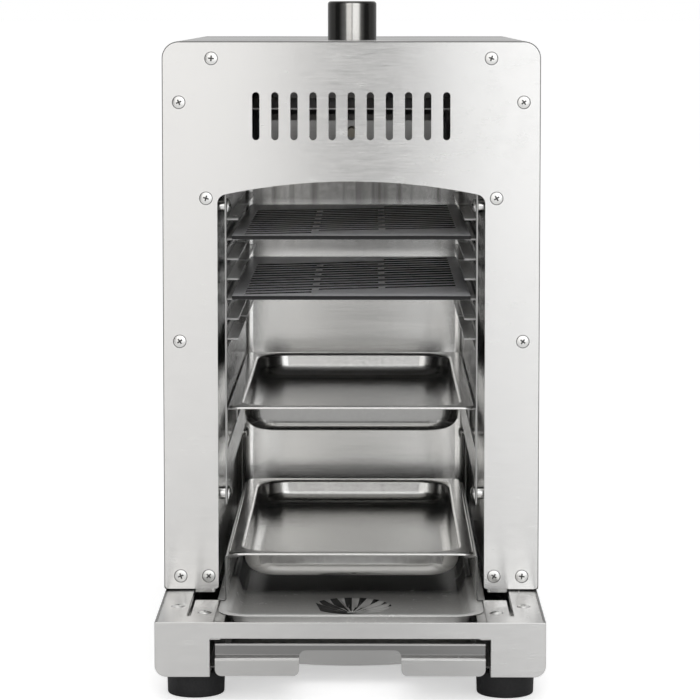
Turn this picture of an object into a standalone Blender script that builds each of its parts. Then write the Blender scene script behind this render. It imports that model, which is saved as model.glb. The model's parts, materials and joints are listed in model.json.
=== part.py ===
"""Infrared gas grill: a tall sheet-steel tower on a low base with a grease drawer.

Metres, +Z up, +X to the viewer's right, the front faces -Y. The feet stand on z = 0
and the origin is the centre of the footprint.
"""

import math

import bmesh
import bpy
from mathutils import Matrix, Vector

# Fits and finish shared by all pieces
SEAT = 0.0003
OVERRUN = 0.002
MERGE = 0.000001
SKIN_OVERLAP = 0.0006
BEND_STEPS = 3
CORNER_STEPS = 4

# Whole grill
BASE_DEPTH = 0.477
INLET_REACH = 0.018
PORCH_DEPTH = 0.107

# Feet
FOOT_DIAMETER = 0.040
FOOT_HEIGHT = 0.017
FOOT_EDGE = 0.002
FOOT_TAPER = 0.0006
FOOT_INSET_X = 0.0265
FOOT_INSET_Y = 0.030
FOOT_PLUG_RADIUS = 0.0037
FOOT_BARB_RADIUS = 0.0052
FOOT_BARB_HEIGHT = 0.003
FOOT_SEGMENTS = 20

# Base
BASE_SIDE_INSET = 0.001
BASE_HEIGHT = 0.0377
BASE_SHEET = 0.0015
BASE_BEND = 0.008
END_INSET = 0.0001
DRAWER_OPENING_INSET = 0.0376
DRAWER_OPENING_HEIGHT = 0.0264
LEDGE_DEPTH = 0.0195
STEP_DROP = 0.0085
STEP_REACH = 0.0245

# Corner plates of the porch
CORNER_PLATE_SHEET = 0.0018
CORNER_PLATE_WIDTH = 0.040
CORNER_PLATE_UNDER = 0.006
CORNER_SLOT_INSET = 0.0235
CORNER_SLOT_WIDTH = 0.003
CORNER_SLOT_REACH = 0.085
CORNER_NOTCH_REACH = 0.032
CORNER_PLATE_ROUND = 0.002

# Drip floor and its drain
DRIP_SHEET = 0.0008
DRIP_FRONT_REACH = 0.0405
DRIP_BACK_GAP = 0.014
DRIP_RIM_BEARING = 0.00575
DRIP_RIM_WIDTH = 0.008
DRIP_DEPTH = 0.0122
DRIP_SLOPE = 0.006
DRIP_CORNER = 0.014
FUNNEL_RADIUS = 0.0292
FUNNEL_DEPTH = 0.005
FUNNEL_DRAIN = 0.0035
FUNNEL_FLUTES = 16
FUNNEL_FLUTE_DEPTH = 0.0008
FUNNEL_SETBACK = 0.0506

# Drawer
DRAWER_FRONT_GAP = 0.0034
DRAWER_FRONT_HEIGHT = 0.0217
DRAWER_FRONT_SHEET = 0.0012
DRAWER_LIP_HEIGHT = 0.0114
DRAWER_SLOPE = 0.0038
DRAWER_HEM = 0.0016
DRAWER_LIFT = 0.0006
DRAWER_INSET = 0.0006
FINGER_WIDTH = 0.0694
FINGER_HEIGHT = 0.017
FINGER_ROUND = 0.0045
FINGER_PLATE_OVERLAP = 0.004
FINGER_PLATE_LIFT = 0.0062
FINGER_PLATE_BOW = 0.0014
FINGER_PLATE_STEPS = 8
DRAWER_LENGTH = 0.262
DRAWER_BOWL_SETBACK = 0.0554
DRAWER_NOTCH_HALF = 0.040
DRAWER_TRAY_SHEET = 0.001
DRAWER_TRAY_INSET = 0.0035
DRAWER_TRAY_LIP = 0.004
DRAWER_TRAY_RISE = 0.0085
DRAWER_TRAY_CORNER = 0.004
DRAWER_TRAY_WALL_SLOPE = 0.0015
RUNNER_SHEET = 0.0012
RUNNER_FOOT = 0.0045
RUNNER_REACH = 0.0062
RUNNER_STANDOFF = 0.0015
RUNNER_LENGTH = 0.300

# Tower shell
TOWER_WIDTH = 0.268
TOWER_HEIGHT = 0.392
TOWER_CORNER = 0.012
CASING_SHEET = 0.0012
CASING_FOOT = 0.015
CASING_FLANGE = 0.020
REAR_SHEET = 0.0012
REAR_VENT_COUNT = 6
REAR_VENT_WIDTH = 0.120
REAR_VENT_HEIGHT = 0.005
REAR_VENT_PITCH = 0.011
REAR_VENT_DROP = 0.060

# Front panel
PANEL_SHEET = 0.0015
PANEL_MARGIN = 0.0007
PANEL_LIFT = 0.0011
PANEL_FOOT_ROUND = 0.0022
PANEL_LEG_WIDTH = 0.039
OPENING_CORNER_DROP = 0.1094
OPENING_RISE = 0.0104
OPENING_ROUND = 0.007
ARCH_STEPS = 12
VENT_COUNT = 11
VENT_PITCH = 0.0135
VENT_WIDTH = 0.0052
VENT_HEIGHT = 0.034
VENT_DROP = 0.0528
VENT_END_STEPS = 4

# Screws
SCREW_HEAD_RADIUS = 0.00465
SCREW_HEAD_HEIGHT = 0.0012
SCREW_SHANK_RADIUS = 0.0021
SCREW_LENGTH = 0.0075
SCREW_RECESS_SPAN = 0.0048
SCREW_RECESS_WIDTH = 0.0012
SCREW_RECESS_DEPTH = 0.0009
SCREW_SEGMENTS = 12
# Each row is the distance in from the tower's side, and the drop below its top
FRONT_SCREW_ROWS = {
    "top": (0.035, 0.012),
    "shoulder": (0.012, 0.043),
    "arch": (0.031, 0.111),
    "side": (0.012, 0.213),
}
# Each row is the distance in from the tower's side, and the rise above its foot
FOOT_SCREW_ROWS = {
    "foot_outer": (0.012, 0.010),
    "foot_inner": (0.032, 0.010),
}
# Each row is the distance in from the base's side, and the reach in front of the panel
BASE_SCREW_ROWS = {
    "outer": (0.0125, 0.053),
    "inner": (0.0325, 0.074),
}

# Cooking chamber
LINER_SHEET = 0.001
LINER_OVERLAP = 0.0035
LINER_FLANGE = 0.0135
LINER_LIFT = 0.0020
BURNER_BAY_HEIGHT = 0.095
LINER_CORNER = 0.014
LINER_BACK_GAP = 0.009
ROOF_SHEET = 0.0012
ROOF_OVERLAP = 0.0055
ROOF_MARGIN = 0.0012

# Racks
RACK_SHEET = 0.0012
RACK_CLEARANCE = 0.001
RACK_LENGTH = 0.318
RACK_SETBACK = 0.008
RACK_TOP_SHARE = 0.97301
RACK_BOTTOM_SHARE = 0.25249
RACK_LEDGE_SHARE = 0.89329
RACK_PITCH_SHARE = 0.048307
RACK_LEVELS = 7
RACK_WINDOW_HEIGHT = 0.0080
RACK_WINDOWS = 2
RACK_WINDOW_MARGIN = 0.010
RACK_LEDGE_REACH = 0.0080
RACK_LOW_LEDGE_SHARE = 0.433312
RACK_LOW_WINDOW_HEIGHT = 0.030
RACK_TAB_DEPTH = 0.015
RACK_TAB_LENGTH = 0.022
UPPER_GRATE_LEVEL = 1
LOWER_GRATE_LEVEL = 4
RAIL_LEDGE_SHARE = 0.078136
RAIL_FOOT = 0.006
BOLT_HEAD_RADIUS = 0.0048
BOLT_HEAD_HEIGHT = 0.0028
BOLT_SHANK_RADIUS = 0.0025
BOLT_COLLAR_RADIUS = 0.0045
BOLT_TAIL = 0.005
BOLT_SEGMENTS = 12
BOLT_SETBACK = 0.020
BOLT_TOP_SHARE = 0.92496
BOLT_BOTTOM_SHARE = 0.225565

# Grates
GRATE_NARROWER = 0.006
GRATE_LENGTH = 0.320
GRATE_SHEET = 0.0015
GRATE_EDGE = 0.003
GRATE_MARGIN = 0.009
GRATE_SETBACK = 0.0045
GRATE_ROWS = 14
GRATE_SLOT_WIDTH = 0.0078
GRATE_SLOT_SLOPE_SHARE = 0.28
# Left and right ends of the three slot columns, as shares of the grate's width
GRATE_COLUMN_SHARES = ((-0.45, -0.1706), (-0.1412, 0.1147), (0.1441, 0.45))

# Pans
PAN_SIDE_ROOM = 0.007
PAN_LENGTH = 0.325
PAN_DEPTH = 0.020
PAN_SHEET = 0.0008
PAN_LIP = 0.003
PAN_RIM = 0.0095
PAN_OUTER_CORNER = 0.008
PAN_INNER_CORNER = 0.025
PAN_WALL_SLOPE = 0.0015
PAN_FILLET = 0.006
FILLET_MIDDLE_SHARE = 0.293
PAN_SETBACK = 0.0005

# Burner
BURNER_SETBACK = 0.1705
TILE_NARROWER = 0.042
TILE_LENGTH = 0.190
TILE_THICKNESS = 0.012
TILE_BEARING = 0.003
HOUSING_SHEET = 0.0012
HOUSING_HEIGHT = 0.0385
HOUSING_FLANGE = 0.0085
HOUSING_SHOULDER = 0.004
HOUSING_CORNER = 0.006
GRILLE_SHEET = 0.002
GRILLE_OVERLAP = 0.006
GRILLE_SLOTS = 10
GRILLE_BAR = 0.0035
SHIELD_SHEET = 0.001
SHIELD_SIDE_ROOM = 0.016
SHIELD_HEIGHT = 0.044
SHIELD_FOOT = 0.010
SHIELD_OVERHANG = 0.010
TUBE_RADIUS = 0.010
TUBE_WALL = 0.0008
TUBE_MOUTH_RADIUS = 0.014
TUBE_MOUTH_LENGTH = 0.010
TUBE_LENGTH = 0.060
TUBE_ENTRY = 0.005
TUBE_RISE = 0.0232
TUBE_X = 0.030
TURN_SEGMENTS = 16

# Gas line
PIPE_RADIUS = 0.003
PIPE_BEND = 0.012
PIPE_BEND_STEPS = 4
JET_RADIUS = 0.0055
JET_NOZZLE_RADIUS = 0.0022
JET_LENGTH = 0.018
JET_NOZZLE = 0.006
INLET_X = -0.070
INLET_DROP = 0.036
INLET_STEP_SHARE = 0.5
PIPE_LEAD = 0.030
INLET_RADIUS = 0.0070
INLET_FLANGE_RADIUS = 0.0110
INLET_NIPPLE_RADIUS = 0.0045
INLET_TAIL = 0.014
ELECTRODE_RADIUS = 0.0035
ELECTRODE_TIP_RADIUS = 0.0012
ELECTRODE_LENGTH = 0.055
ELECTRODE_TIP = 0.012
ELECTRODE_DROP = 0.030

# Valve and knob
KNOB_SETBACK = 0.100
KNOB_RADIUS = 0.018
KNOB_RISE = 0.0285
KNOB_SINK = 0.0026
KNOB_WALL = 0.0030
KNOB_CROWN = 0.0035
KNOB_EDGE = 0.0025
KNOB_BOSS_RADIUS = 0.0065
KNOB_BOSS_DROP = 0.0060
KNOB_SEGMENTS = 32
KNOB_GAP = 0.0006
BRACKET_SHEET = 0.0015
BRACKET_HALF = 0.026
BRACKET_WIDTH = 0.044
BRACKET_DROP = 0.0075
BRACKET_FLANGE = 0.012
VALVE_WIDTH = 0.036
VALVE_LENGTH = 0.050
VALVE_HEIGHT = 0.024
VALVE_NECK_RADIUS = 0.007
VALVE_NECK_RISE = 0.0075
VALVE_PORT_RADIUS = 0.006
VALVE_PORT_LENGTH = 0.006
VALVE_CHAMBER_RADIUS = 0.0055
VALVE_CHAMBER_DEPTH = 0.0170
STEM_RADIUS = 0.0030
STEM_CLEARANCE = 0.0001
STEM_SEGMENTS = 32
STEM_ENTRY = 0.0120
PLUNGER_RADIUS = 0.0052
PLUNGER_LENGTH = 0.0080
STEM_GRIP = 0.0080

# Places worked out from the sizes above
FRONT_Y = -(BASE_DEPTH + INLET_REACH) / 2
BACK_Y = FRONT_Y + BASE_DEPTH
PANEL_Y = FRONT_Y + PORCH_DEPTH
BASE_WIDTH = TOWER_WIDTH - 2 * BASE_SIDE_INSET
BASE_Z = FOOT_HEIGHT
BASE_TOP = BASE_Z + BASE_HEIGHT
TOWER_Z = BASE_TOP + SEAT
TOWER_TOP = TOWER_Z + TOWER_HEIGHT
CASING_FRONT = PANEL_Y + PANEL_SHEET + SEAT
CASING_BACK = BACK_Y - REAR_SHEET - SEAT
LEDGE_Z = BASE_TOP - 2 * SEAT - CORNER_PLATE_SHEET - CASING_SHEET / 2
STEP_Z = LEDGE_Z - STEP_DROP
DRAWER_TRAY_TOP = BASE_Z + DRAWER_TRAY_RISE
DRAWER_OPENING_WIDTH = BASE_WIDTH - 2 * DRAWER_OPENING_INSET
DRAWER_FRONT_WIDTH = DRAWER_OPENING_WIDTH - 2 * DRAWER_FRONT_GAP
DRAWER_TRAY_HALF = DRAWER_FRONT_WIDTH / 2 - DRAWER_TRAY_INSET
CORNER_PLATE_INNER = BASE_WIDTH / 2 - CORNER_PLATE_WIDTH
CORNER_SLOT_X = BASE_WIDTH / 2 - CORNER_SLOT_INSET
STEP_INNER = BASE_WIDTH / 2 - BASE_SHEET / 2 - LEDGE_DEPTH - STEP_REACH
DRIP_RIM_HALF = STEP_INNER + DRIP_RIM_BEARING
OPENING_WIDTH = TOWER_WIDTH - 2 * PANEL_LEG_WIDTH
LINER_WIDTH = OPENING_WIDTH + 2 * LINER_OVERLAP
ROOF_HALF = LINER_WIDTH / 2 + ROOF_OVERLAP
PAN_WIDTH = OPENING_WIDTH - 2 * PAN_SIDE_ROOM
GRATE_WIDTH = PAN_WIDTH - GRATE_NARROWER
TILE_WIDTH = PAN_WIDTH - TILE_NARROWER
SHIELD_HALF = TILE_WIDTH / 2 + SHIELD_SIDE_ROOM
RACK_HALF = PAN_WIDTH / 2 + RACK_CLEARANCE + RACK_SHEET / 2
CHAMBER_HEIGHT = TOWER_HEIGHT - BURNER_BAY_HEIGHT
RACK_TOP = TOWER_Z + CHAMBER_HEIGHT * RACK_TOP_SHARE
RACK_BOTTOM = TOWER_Z + CHAMBER_HEIGHT * RACK_BOTTOM_SHARE
RACK_LEDGE_TOP = TOWER_Z + CHAMBER_HEIGHT * RACK_LEDGE_SHARE
RACK_PITCH = CHAMBER_HEIGHT * RACK_PITCH_SHARE
RACK_LOW_LEDGE_TOP = TOWER_Z + CHAMBER_HEIGHT * RACK_LOW_LEDGE_SHARE
RAIL_HALF = RACK_HALF + RACK_SHEET / 2
RAIL_LEDGE_TOP = TOWER_Z + CHAMBER_HEIGHT * RAIL_LEDGE_SHARE
BOLT_TOP = TOWER_Z + CHAMBER_HEIGHT * BOLT_TOP_SHARE
BOLT_BOTTOM = TOWER_Z + CHAMBER_HEIGHT * BOLT_BOTTOM_SHARE
LINER_Z = TOWER_Z - LINER_LIFT
LINER_TOP = TOWER_Z + CHAMBER_HEIGHT
LINER_BACK = BACK_Y - LINER_BACK_GAP
ROOF_Z = LINER_TOP + SEAT
ROOF_TOP = ROOF_Z + ROOF_SHEET
BURNER_Y = PANEL_Y + BURNER_SETBACK
KNOB_Y = PANEL_Y + KNOB_SETBACK
BRACKET_Z = TOWER_TOP - CASING_SHEET - BRACKET_DROP
VALVE_TOP = BRACKET_Z - SEAT
VALVE_Z = VALVE_TOP - VALVE_HEIGHT
PORT_Z = VALVE_Z + VALVE_HEIGHT / 2
INLET_Z = TOWER_TOP - INLET_DROP
TUBE_Z = ROOF_TOP + TUBE_RISE
PAN_HANG = PAN_LIP + SEAT
SIDES = {"left": -1, "right": 1}

# Colours as seen in the photograph, with roughness and metallic value
BRUSHED = ((0.66, 0.65, 0.64), 0.34, 1.0)
POLISHED = ((0.60, 0.59, 0.57), 0.18, 1.0)
SATIN = ((0.48, 0.47, 0.46), 0.38, 1.0)
GRATE_STEEL = ((0.22, 0.22, 0.23), 0.42, 1.0)
GUNMETAL = ((0.11, 0.11, 0.10), 0.30, 1.0)
RUBBER = ((0.012, 0.012, 0.013), 0.70, 0.0)
BRASS = ((0.62, 0.45, 0.20), 0.35, 1.0)
CERAMIC = ((0.78, 0.72, 0.60), 0.85, 0.0)
ALUMINIUM = ((0.70, 0.70, 0.71), 0.40, 1.0)

PARTS = None
TOOLS = None


def clear_scene():
    for item in list(bpy.data.objects):
        bpy.data.objects.remove(item, do_unlink=True)


def make_collection(name):
    group = bpy.data.collections.new(name)
    bpy.context.scene.collection.children.link(group)
    return group


def material(name, finish):
    colour, roughness, metallic = finish
    made = bpy.data.materials.get(name) or bpy.data.materials.new(name)
    made.use_nodes = True
    shader = made.node_tree.nodes["Principled BSDF"]
    shader.inputs["Base Color"].default_value = (*colour, 1.0)
    shader.inputs["Roughness"].default_value = roughness
    shader.inputs["Metallic"].default_value = metallic
    return made


def add_object(name, data, look, place=(0, 0, 0), turn=(0, 0, 0)):
    """A piece of the grill, or a hidden tool where look is None."""
    made = bpy.data.objects.new(name, data)
    made.location = place
    made.rotation_euler = turn
    if look:
        PARTS.objects.link(made)
        if not data.materials:
            data.materials.append(look)
    else:
        TOOLS.objects.link(made)
        made.hide_render = True
        made.display_type = "WIRE"
    return made


def shade(made, angle=math.radians(32)):
    made.data.shade_smooth()
    made.data.set_sharp_from_angle(angle=angle)


def box(name, low, high, look=None):
    size = Vector(high) - Vector(low)
    mesh = bpy.data.meshes.new(name)
    shape = bmesh.new()
    bmesh.ops.create_cube(shape, size=1, matrix=Matrix.Diagonal((*size, 1)))
    shape.to_mesh(mesh)
    shape.free()
    return add_object(name, mesh, look, (Vector(high) + Vector(low)) / 2)


def round_corners(points, radii, steps=BEND_STEPS, closed=True):
    """The outline with an arc of the given radius at each point, and none where it is zero."""
    points = [Vector(point) for point in points]
    last = len(points) - 1
    result = []
    for index, point in enumerate(points):
        radius = radii[index] if isinstance(radii, (list, tuple)) else radii
        if not radius or (not closed and index in (0, last)):
            result.append(point)
            continue
        back = (points[index - 1] - point).normalized()
        ahead = (points[(index + 1) % len(points)] - point).normalized()
        half = back.angle(ahead) / 2
        centre = point + (back + ahead).normalized() * (radius / math.sin(half))
        first = point + back * (radius / math.tan(half)) - centre
        final = point + ahead * (radius / math.tan(half)) - centre
        for step in range(steps + 1):
            result.append(centre + first.slerp(final, step / steps).normalized() * radius)
    return result


def circle(centre, radius, segments):
    turns = [2 * math.pi * index / segments for index in range(segments)]
    return [(centre[0] + radius * math.cos(a), centre[1] + radius * math.sin(a)) for a in turns]


def rectangle(low, high):
    return [low, (high[0], low[1]), high, (low[0], high[1])]


def as_mesh(curve):
    """The curve's solid as a mesh object of the same name and place, with its caps welded."""
    bpy.context.view_layer.update()
    graph = bpy.context.evaluated_depsgraph_get()
    mesh = bpy.data.meshes.new_from_object(curve.evaluated_get(graph))
    shape = bmesh.new()
    shape.from_mesh(mesh)
    bmesh.ops.remove_doubles(shape, verts=shape.verts, dist=MERGE)
    shape.to_mesh(mesh)
    shape.free()
    name = curve.name
    made = bpy.data.objects.new(name, mesh)
    made.matrix_world = curve.matrix_world
    made.hide_render = curve.hide_render
    made.display_type = curve.display_type
    curve.users_collection[0].objects.link(made)
    bpy.data.objects.remove(curve, do_unlink=True)
    made.name = name
    return made


FACING = {
    "X": (math.pi / 2, 0, math.pi / 2),
    "Y": (math.pi / 2, 0, 0),
    "Z": (0, 0, 0),
}


def flat_piece(name, outlines, middle, thickness, faces, look=None):
    """A sheet cut to the outlines, the first its edge and the rest holes, at middle along faces."""
    data = bpy.data.curves.new(name, "CURVE")
    data.dimensions = "2D"
    data.fill_mode = "BOTH"
    data.extrude = thickness / 2
    for outline in outlines:
        spline = data.splines.new("POLY")
        spline.points.add(len(outline) - 1)
        for point, place in zip(spline.points, outline):
            point.co = (place[0], place[1], 0, 1)
        spline.use_cyclic_u = True
    place = {"X": (middle, 0, 0), "Y": (0, middle, 0), "Z": (0, 0, middle)}[faces]
    return as_mesh(add_object(name, data, look, place, FACING[faces]))


def bent_sheet(name, path, along, start, end, thickness, look=None):
    """A sheet whose middle line is the path, drawn out along one axis from start to end."""
    mesh = bpy.data.meshes.new(name)
    shape = bmesh.new()
    spots = []
    for first, second in path:
        spot = {
            "X": (start, first, second),
            "Y": (first, start, second),
            "Z": (first, second, start),
        }[along]
        spots.append(shape.verts.new(spot))
    edges = [shape.edges.new(pair) for pair in zip(spots, spots[1:])]
    drawn = bmesh.ops.extrude_edge_only(shape, edges=edges)
    moved = [item for item in drawn["geom"] if isinstance(item, bmesh.types.BMVert)]
    run = {"X": (end - start, 0, 0), "Y": (0, end - start, 0), "Z": (0, 0, end - start)}[along]
    bmesh.ops.translate(shape, verts=moved, vec=run)
    bmesh.ops.recalc_face_normals(shape, faces=shape.faces)
    shape.to_mesh(mesh)
    shape.free()
    made = add_object(name, mesh, look)
    thicken(made, thickness)
    return made


def thicken(made, thickness, side=0):
    skin = made.modifiers.new("Sheet", "SOLIDIFY")
    skin.thickness = thickness
    skin.offset = side
    skin.use_even_offset = True
    skin.use_quality_normals = True


def ring(half_x, half_y, corner, height, middle=(0, 0)):
    """A level rounded rectangle as points in space, the same number whatever its size."""
    left, right = middle[0] - half_x, middle[0] + half_x
    front, back = middle[1] - half_y, middle[1] + half_y
    outline = round_corners(rectangle((left, front), (right, back)), corner, CORNER_STEPS)
    return [(point[0], point[1], height) for point in outline]


def lofted(name, rings, thickness, look=None, side=0):
    """A sheet drawn through the rings and closed over the last one."""
    mesh = bpy.data.meshes.new(name)
    shape = bmesh.new()
    loops = [[shape.verts.new(point) for point in points] for points in rings]
    for outer, inner in zip(loops, loops[1:]):
        count = len(outer)
        for index in range(count):
            after = (index + 1) % count
            shape.faces.new((outer[index], outer[after], inner[after], inner[index]))
    shape.faces.new(loops[-1])
    bmesh.ops.recalc_face_normals(shape, faces=shape.faces)
    shape.to_mesh(mesh)
    shape.free()
    made = add_object(name, mesh, look)
    thicken(made, thickness, side)
    return made


def turned(name, profile, segments, look=None, place=(0, 0, 0), turn=(0, 0, 0), closed=False):
    """A profile of (radius, height) points, listed top to bottom, turned about its own Z axis."""
    mesh = bpy.data.meshes.new(name)
    shape = bmesh.new()
    spots = [shape.verts.new((radius, 0, height)) for radius, height in profile]
    pairs = list(zip(spots, spots[1:])) + ([(spots[-1], spots[0])] if closed else [])
    for pair in pairs:
        shape.edges.new(pair)
    shape.to_mesh(mesh)
    shape.free()
    made = add_object(name, mesh, look, place, turn)
    lathe = made.modifiers.new("Lathe", "SCREW")
    lathe.axis = "Z"
    lathe.steps = segments
    lathe.render_steps = segments
    lathe.use_merge_vertices = True
    lathe.merge_threshold = MERGE
    return made


def pipe(name, route, radius, look):
    data = bpy.data.curves.new(name, "CURVE")
    data.dimensions = "3D"
    data.bevel_depth = radius
    data.bevel_resolution = 2
    data.use_fill_caps = True
    spline = data.splines.new("POLY")
    spline.points.add(len(route) - 1)
    for point, place in zip(spline.points, route):
        point.co = (*place, 1)
    return add_object(name, data, look)


def combine(made, others, operation):
    for other in others:
        step = made.modifiers.new(operation.title(), "BOOLEAN")
        step.operation = operation
        step.solver = "EXACT"
        step.object = other


def join(made, *others):
    combine(made, others, "UNION")


def cut(made, *others):
    combine(made, others, "DIFFERENCE")


def cut_group(made, group):
    step = made.modifiers.new("Holes", "BOOLEAN")
    step.operation = "DIFFERENCE"
    step.solver = "EXACT"
    step.operand_type = "COLLECTION"
    step.collection = group


def use_manifold_solver(made):
    """For a piece whose thin curved skins the exact solver leaves open."""
    for step in made.modifiers:
        if step.type == "BOOLEAN":
            step.solver = "MANIFOLD"


def tool_group(name, tools):
    """A collection of cutters that one modifier can use together."""
    group = bpy.data.collections.new(name)
    TOOLS.children.link(group)
    for tool in tools:
        TOOLS.objects.unlink(tool)
        group.objects.link(tool)
    return group


def mirrored(made):
    copy = made.modifiers.new("Mirror", "MIRROR")
    copy.use_mirror_merge = False
    copy.merge_threshold = MERGE


# Screws and bolts

def screw_profile(clearance=0.0, extra=0.0):
    head = SCREW_HEAD_RADIUS + clearance
    shank = SCREW_SHANK_RADIUS + clearance
    return [
        (0, extra),
        (head, extra),
        (head, 0),
        (shank, -SCREW_HEAD_HEIGHT - clearance),
        (shank, -SCREW_LENGTH - extra),
        (0, -SCREW_LENGTH - extra),
    ]


def screw_mesh():
    """A countersunk screw with a cross recess, its head flush with z = 0."""
    profile = screw_profile()
    profile.remove((SCREW_HEAD_RADIUS, 0))
    blank = turned("screw_blank", profile, SCREW_SEGMENTS)
    span, width = SCREW_RECESS_SPAN / 2, SCREW_RECESS_WIDTH / 2
    low, high = -SCREW_RECESS_DEPTH, OVERRUN
    cut(
        blank,
        box("recess_across", (-span, -width, low), (span, width, high)),
        box("recess_along", (-width, -span, low), (width, span, high)),
    )
    bpy.context.view_layer.update()
    graph = bpy.context.evaluated_depsgraph_get()
    mesh = bpy.data.meshes.new_from_object(blank.evaluated_get(graph))
    mesh.name = "cross_recess_screw"
    return mesh


def screw_places():
    """Each screw's name, where its head sits and how it is turned."""
    places = {}
    outward = (math.pi / 2, 0, 0)
    heights = {row: (inset, TOWER_TOP - drop) for row, (inset, drop) in FRONT_SCREW_ROWS.items()}
    for row, (inset, rise) in FOOT_SCREW_ROWS.items():
        heights[row] = (inset, TOWER_Z + rise)
    for side, sign in SIDES.items():
        for row, (inset, height) in heights.items():
            across = sign * (TOWER_WIDTH / 2 - inset)
            places[f"panel_screw_{row}_{side}"] = ((across, PANEL_Y, height), outward)
        for row, (inset, reach) in BASE_SCREW_ROWS.items():
            across = sign * (BASE_WIDTH / 2 - inset)
            place = (across, PANEL_Y - reach, BASE_TOP - SEAT)
            places[f"base_screw_{row}_{side}"] = (place, (0, 0, 0))
    return places


def make_screws():
    mesh = screw_mesh()
    look = material("polished_steel", POLISHED)
    groups = {"panel": [], "base": []}
    for name, (place, turn) in screw_places().items():
        made = add_object(name, mesh, look, place, turn)
        shade(made)
        hole = turned(
            f"{name}_hole", screw_profile(SEAT, OVERRUN), SCREW_SEGMENTS, None, place, turn
        )
        groups[name.split("_")[0]].append(hole)
    return {key: tool_group(f"{key}_screw_holes", tools) for key, tools in groups.items()}


def bolt_places():
    places = {}
    for side, sign in SIDES.items():
        for level, height in (("top", BOLT_TOP), ("bottom", BOLT_BOTTOM)):
            place = (sign * RACK_HALF, PANEL_Y + BOLT_SETBACK, height)
            places[f"rack_bolt_{level}_{side}"] = (place, (0, -sign * math.pi / 2, 0))
    return places


def make_rack_bolts():
    """Dome-headed bolts with a collar that spaces the rack from the liner, and their holes."""
    look = material("polished_steel", POLISHED)
    web = RACK_SHEET / 2
    liner_face = LINER_WIDTH / 2 - LINER_SHEET - RACK_HALF
    tail = liner_face + LINER_SHEET + BOLT_TAIL
    dome = [
        (BOLT_HEAD_RADIUS * math.sin(a), web + SEAT + BOLT_HEAD_HEIGHT * math.cos(a))
        for a in [math.pi / 2 * step / BEND_STEPS for step in range(BEND_STEPS + 1)]
    ]
    dome[0] = (0, dome[0][1])
    body = [
        (BOLT_SHANK_RADIUS, web + SEAT),
        (BOLT_SHANK_RADIUS, -web - SEAT),
        (BOLT_COLLAR_RADIUS, -web - SEAT),
        (BOLT_COLLAR_RADIUS, -liner_face + SEAT),
        (BOLT_SHANK_RADIUS, -liner_face + SEAT),
        (BOLT_SHANK_RADIUS, -tail),
        (0, -tail),
    ]
    hole = [(0, liner_face), (BOLT_SHANK_RADIUS + SEAT, liner_face)]
    hole += [(BOLT_SHANK_RADIUS + SEAT, -tail - OVERRUN), (0, -tail - OVERRUN)]
    holes = []
    for name, (place, turn) in bolt_places().items():
        made = turned(name, dome + body, BOLT_SEGMENTS, look, place, turn)
        shade(made)
        holes.append(turned(f"{name}_hole", hole, BOLT_SEGMENTS, None, place, turn))
    return tool_group("rack_bolt_holes", holes)


# Base

def foot_places():
    half = BASE_WIDTH / 2 - FOOT_INSET_X
    rows = {"front": FRONT_Y + FOOT_INSET_Y, "rear": BACK_Y - FOOT_INSET_Y}
    return {
        f"foot_{row}_{side}": (sign * half, depth, 0)
        for row, depth in rows.items()
        for side, sign in SIDES.items()
    }


def make_feet():
    """Rubber feet, each with a barbed plug pushed through the base's bottom flange."""
    look = material("black_rubber", RUBBER)
    radius = FOOT_DIAMETER / 2
    top = FOOT_HEIGHT - SEAT
    neck_top = FOOT_HEIGHT + BASE_SHEET + SEAT
    barb_top = neck_top + FOOT_BARB_HEIGHT
    profile = [
        (0, barb_top),
        (FOOT_PLUG_RADIUS, barb_top),
        (FOOT_BARB_RADIUS, neck_top),
        (FOOT_PLUG_RADIUS, neck_top),
        (FOOT_PLUG_RADIUS, top),
        (radius - FOOT_EDGE / 2, top),
        (radius, top - FOOT_EDGE / 2),
        (radius - FOOT_TAPER, FOOT_EDGE),
        (radius - FOOT_TAPER - FOOT_EDGE / 2, FOOT_EDGE / 4),
        (radius - FOOT_TAPER - FOOT_EDGE, 0),
        (0, 0),
    ]
    hole_radius = FOOT_PLUG_RADIUS + SEAT
    hole = [(0, BASE_Z + BASE_SHEET + OVERRUN), (hole_radius, BASE_Z + BASE_SHEET + OVERRUN)]
    hole += [(hole_radius, BASE_Z - OVERRUN), (0, BASE_Z - OVERRUN)]
    holes = []
    for name, place in foot_places().items():
        shade(turned(name, profile, FOOT_SEGMENTS, look, place))
        holes.append(turned(f"{name}_hole", hole, FOOT_SEGMENTS // 2, None, place))
    return tool_group("foot_holes", holes)


def base_end_outline(with_opening):
    """An end wall, set in by a hair so that its bends stay inside the side walls' bends."""
    half = BASE_WIDTH / 2 - END_INSET
    low, high = BASE_Z + END_INSET, BASE_TOP - END_INSET
    corners = [(-half, high), (-half, low), (half, low), (half, high)]
    radii = [0, BASE_BEND, BASE_BEND, 0]
    if with_opening:
        edge = DRAWER_OPENING_WIDTH / 2
        lintel = BASE_Z + DRAWER_OPENING_HEIGHT
        corners[2:2] = [(-edge, low), (-edge, lintel), (edge, lintel), (edge, low)]
        radii[2:2] = [0, 0, 0, 0]
    return round_corners(corners, radii, CORNER_STEPS)


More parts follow.
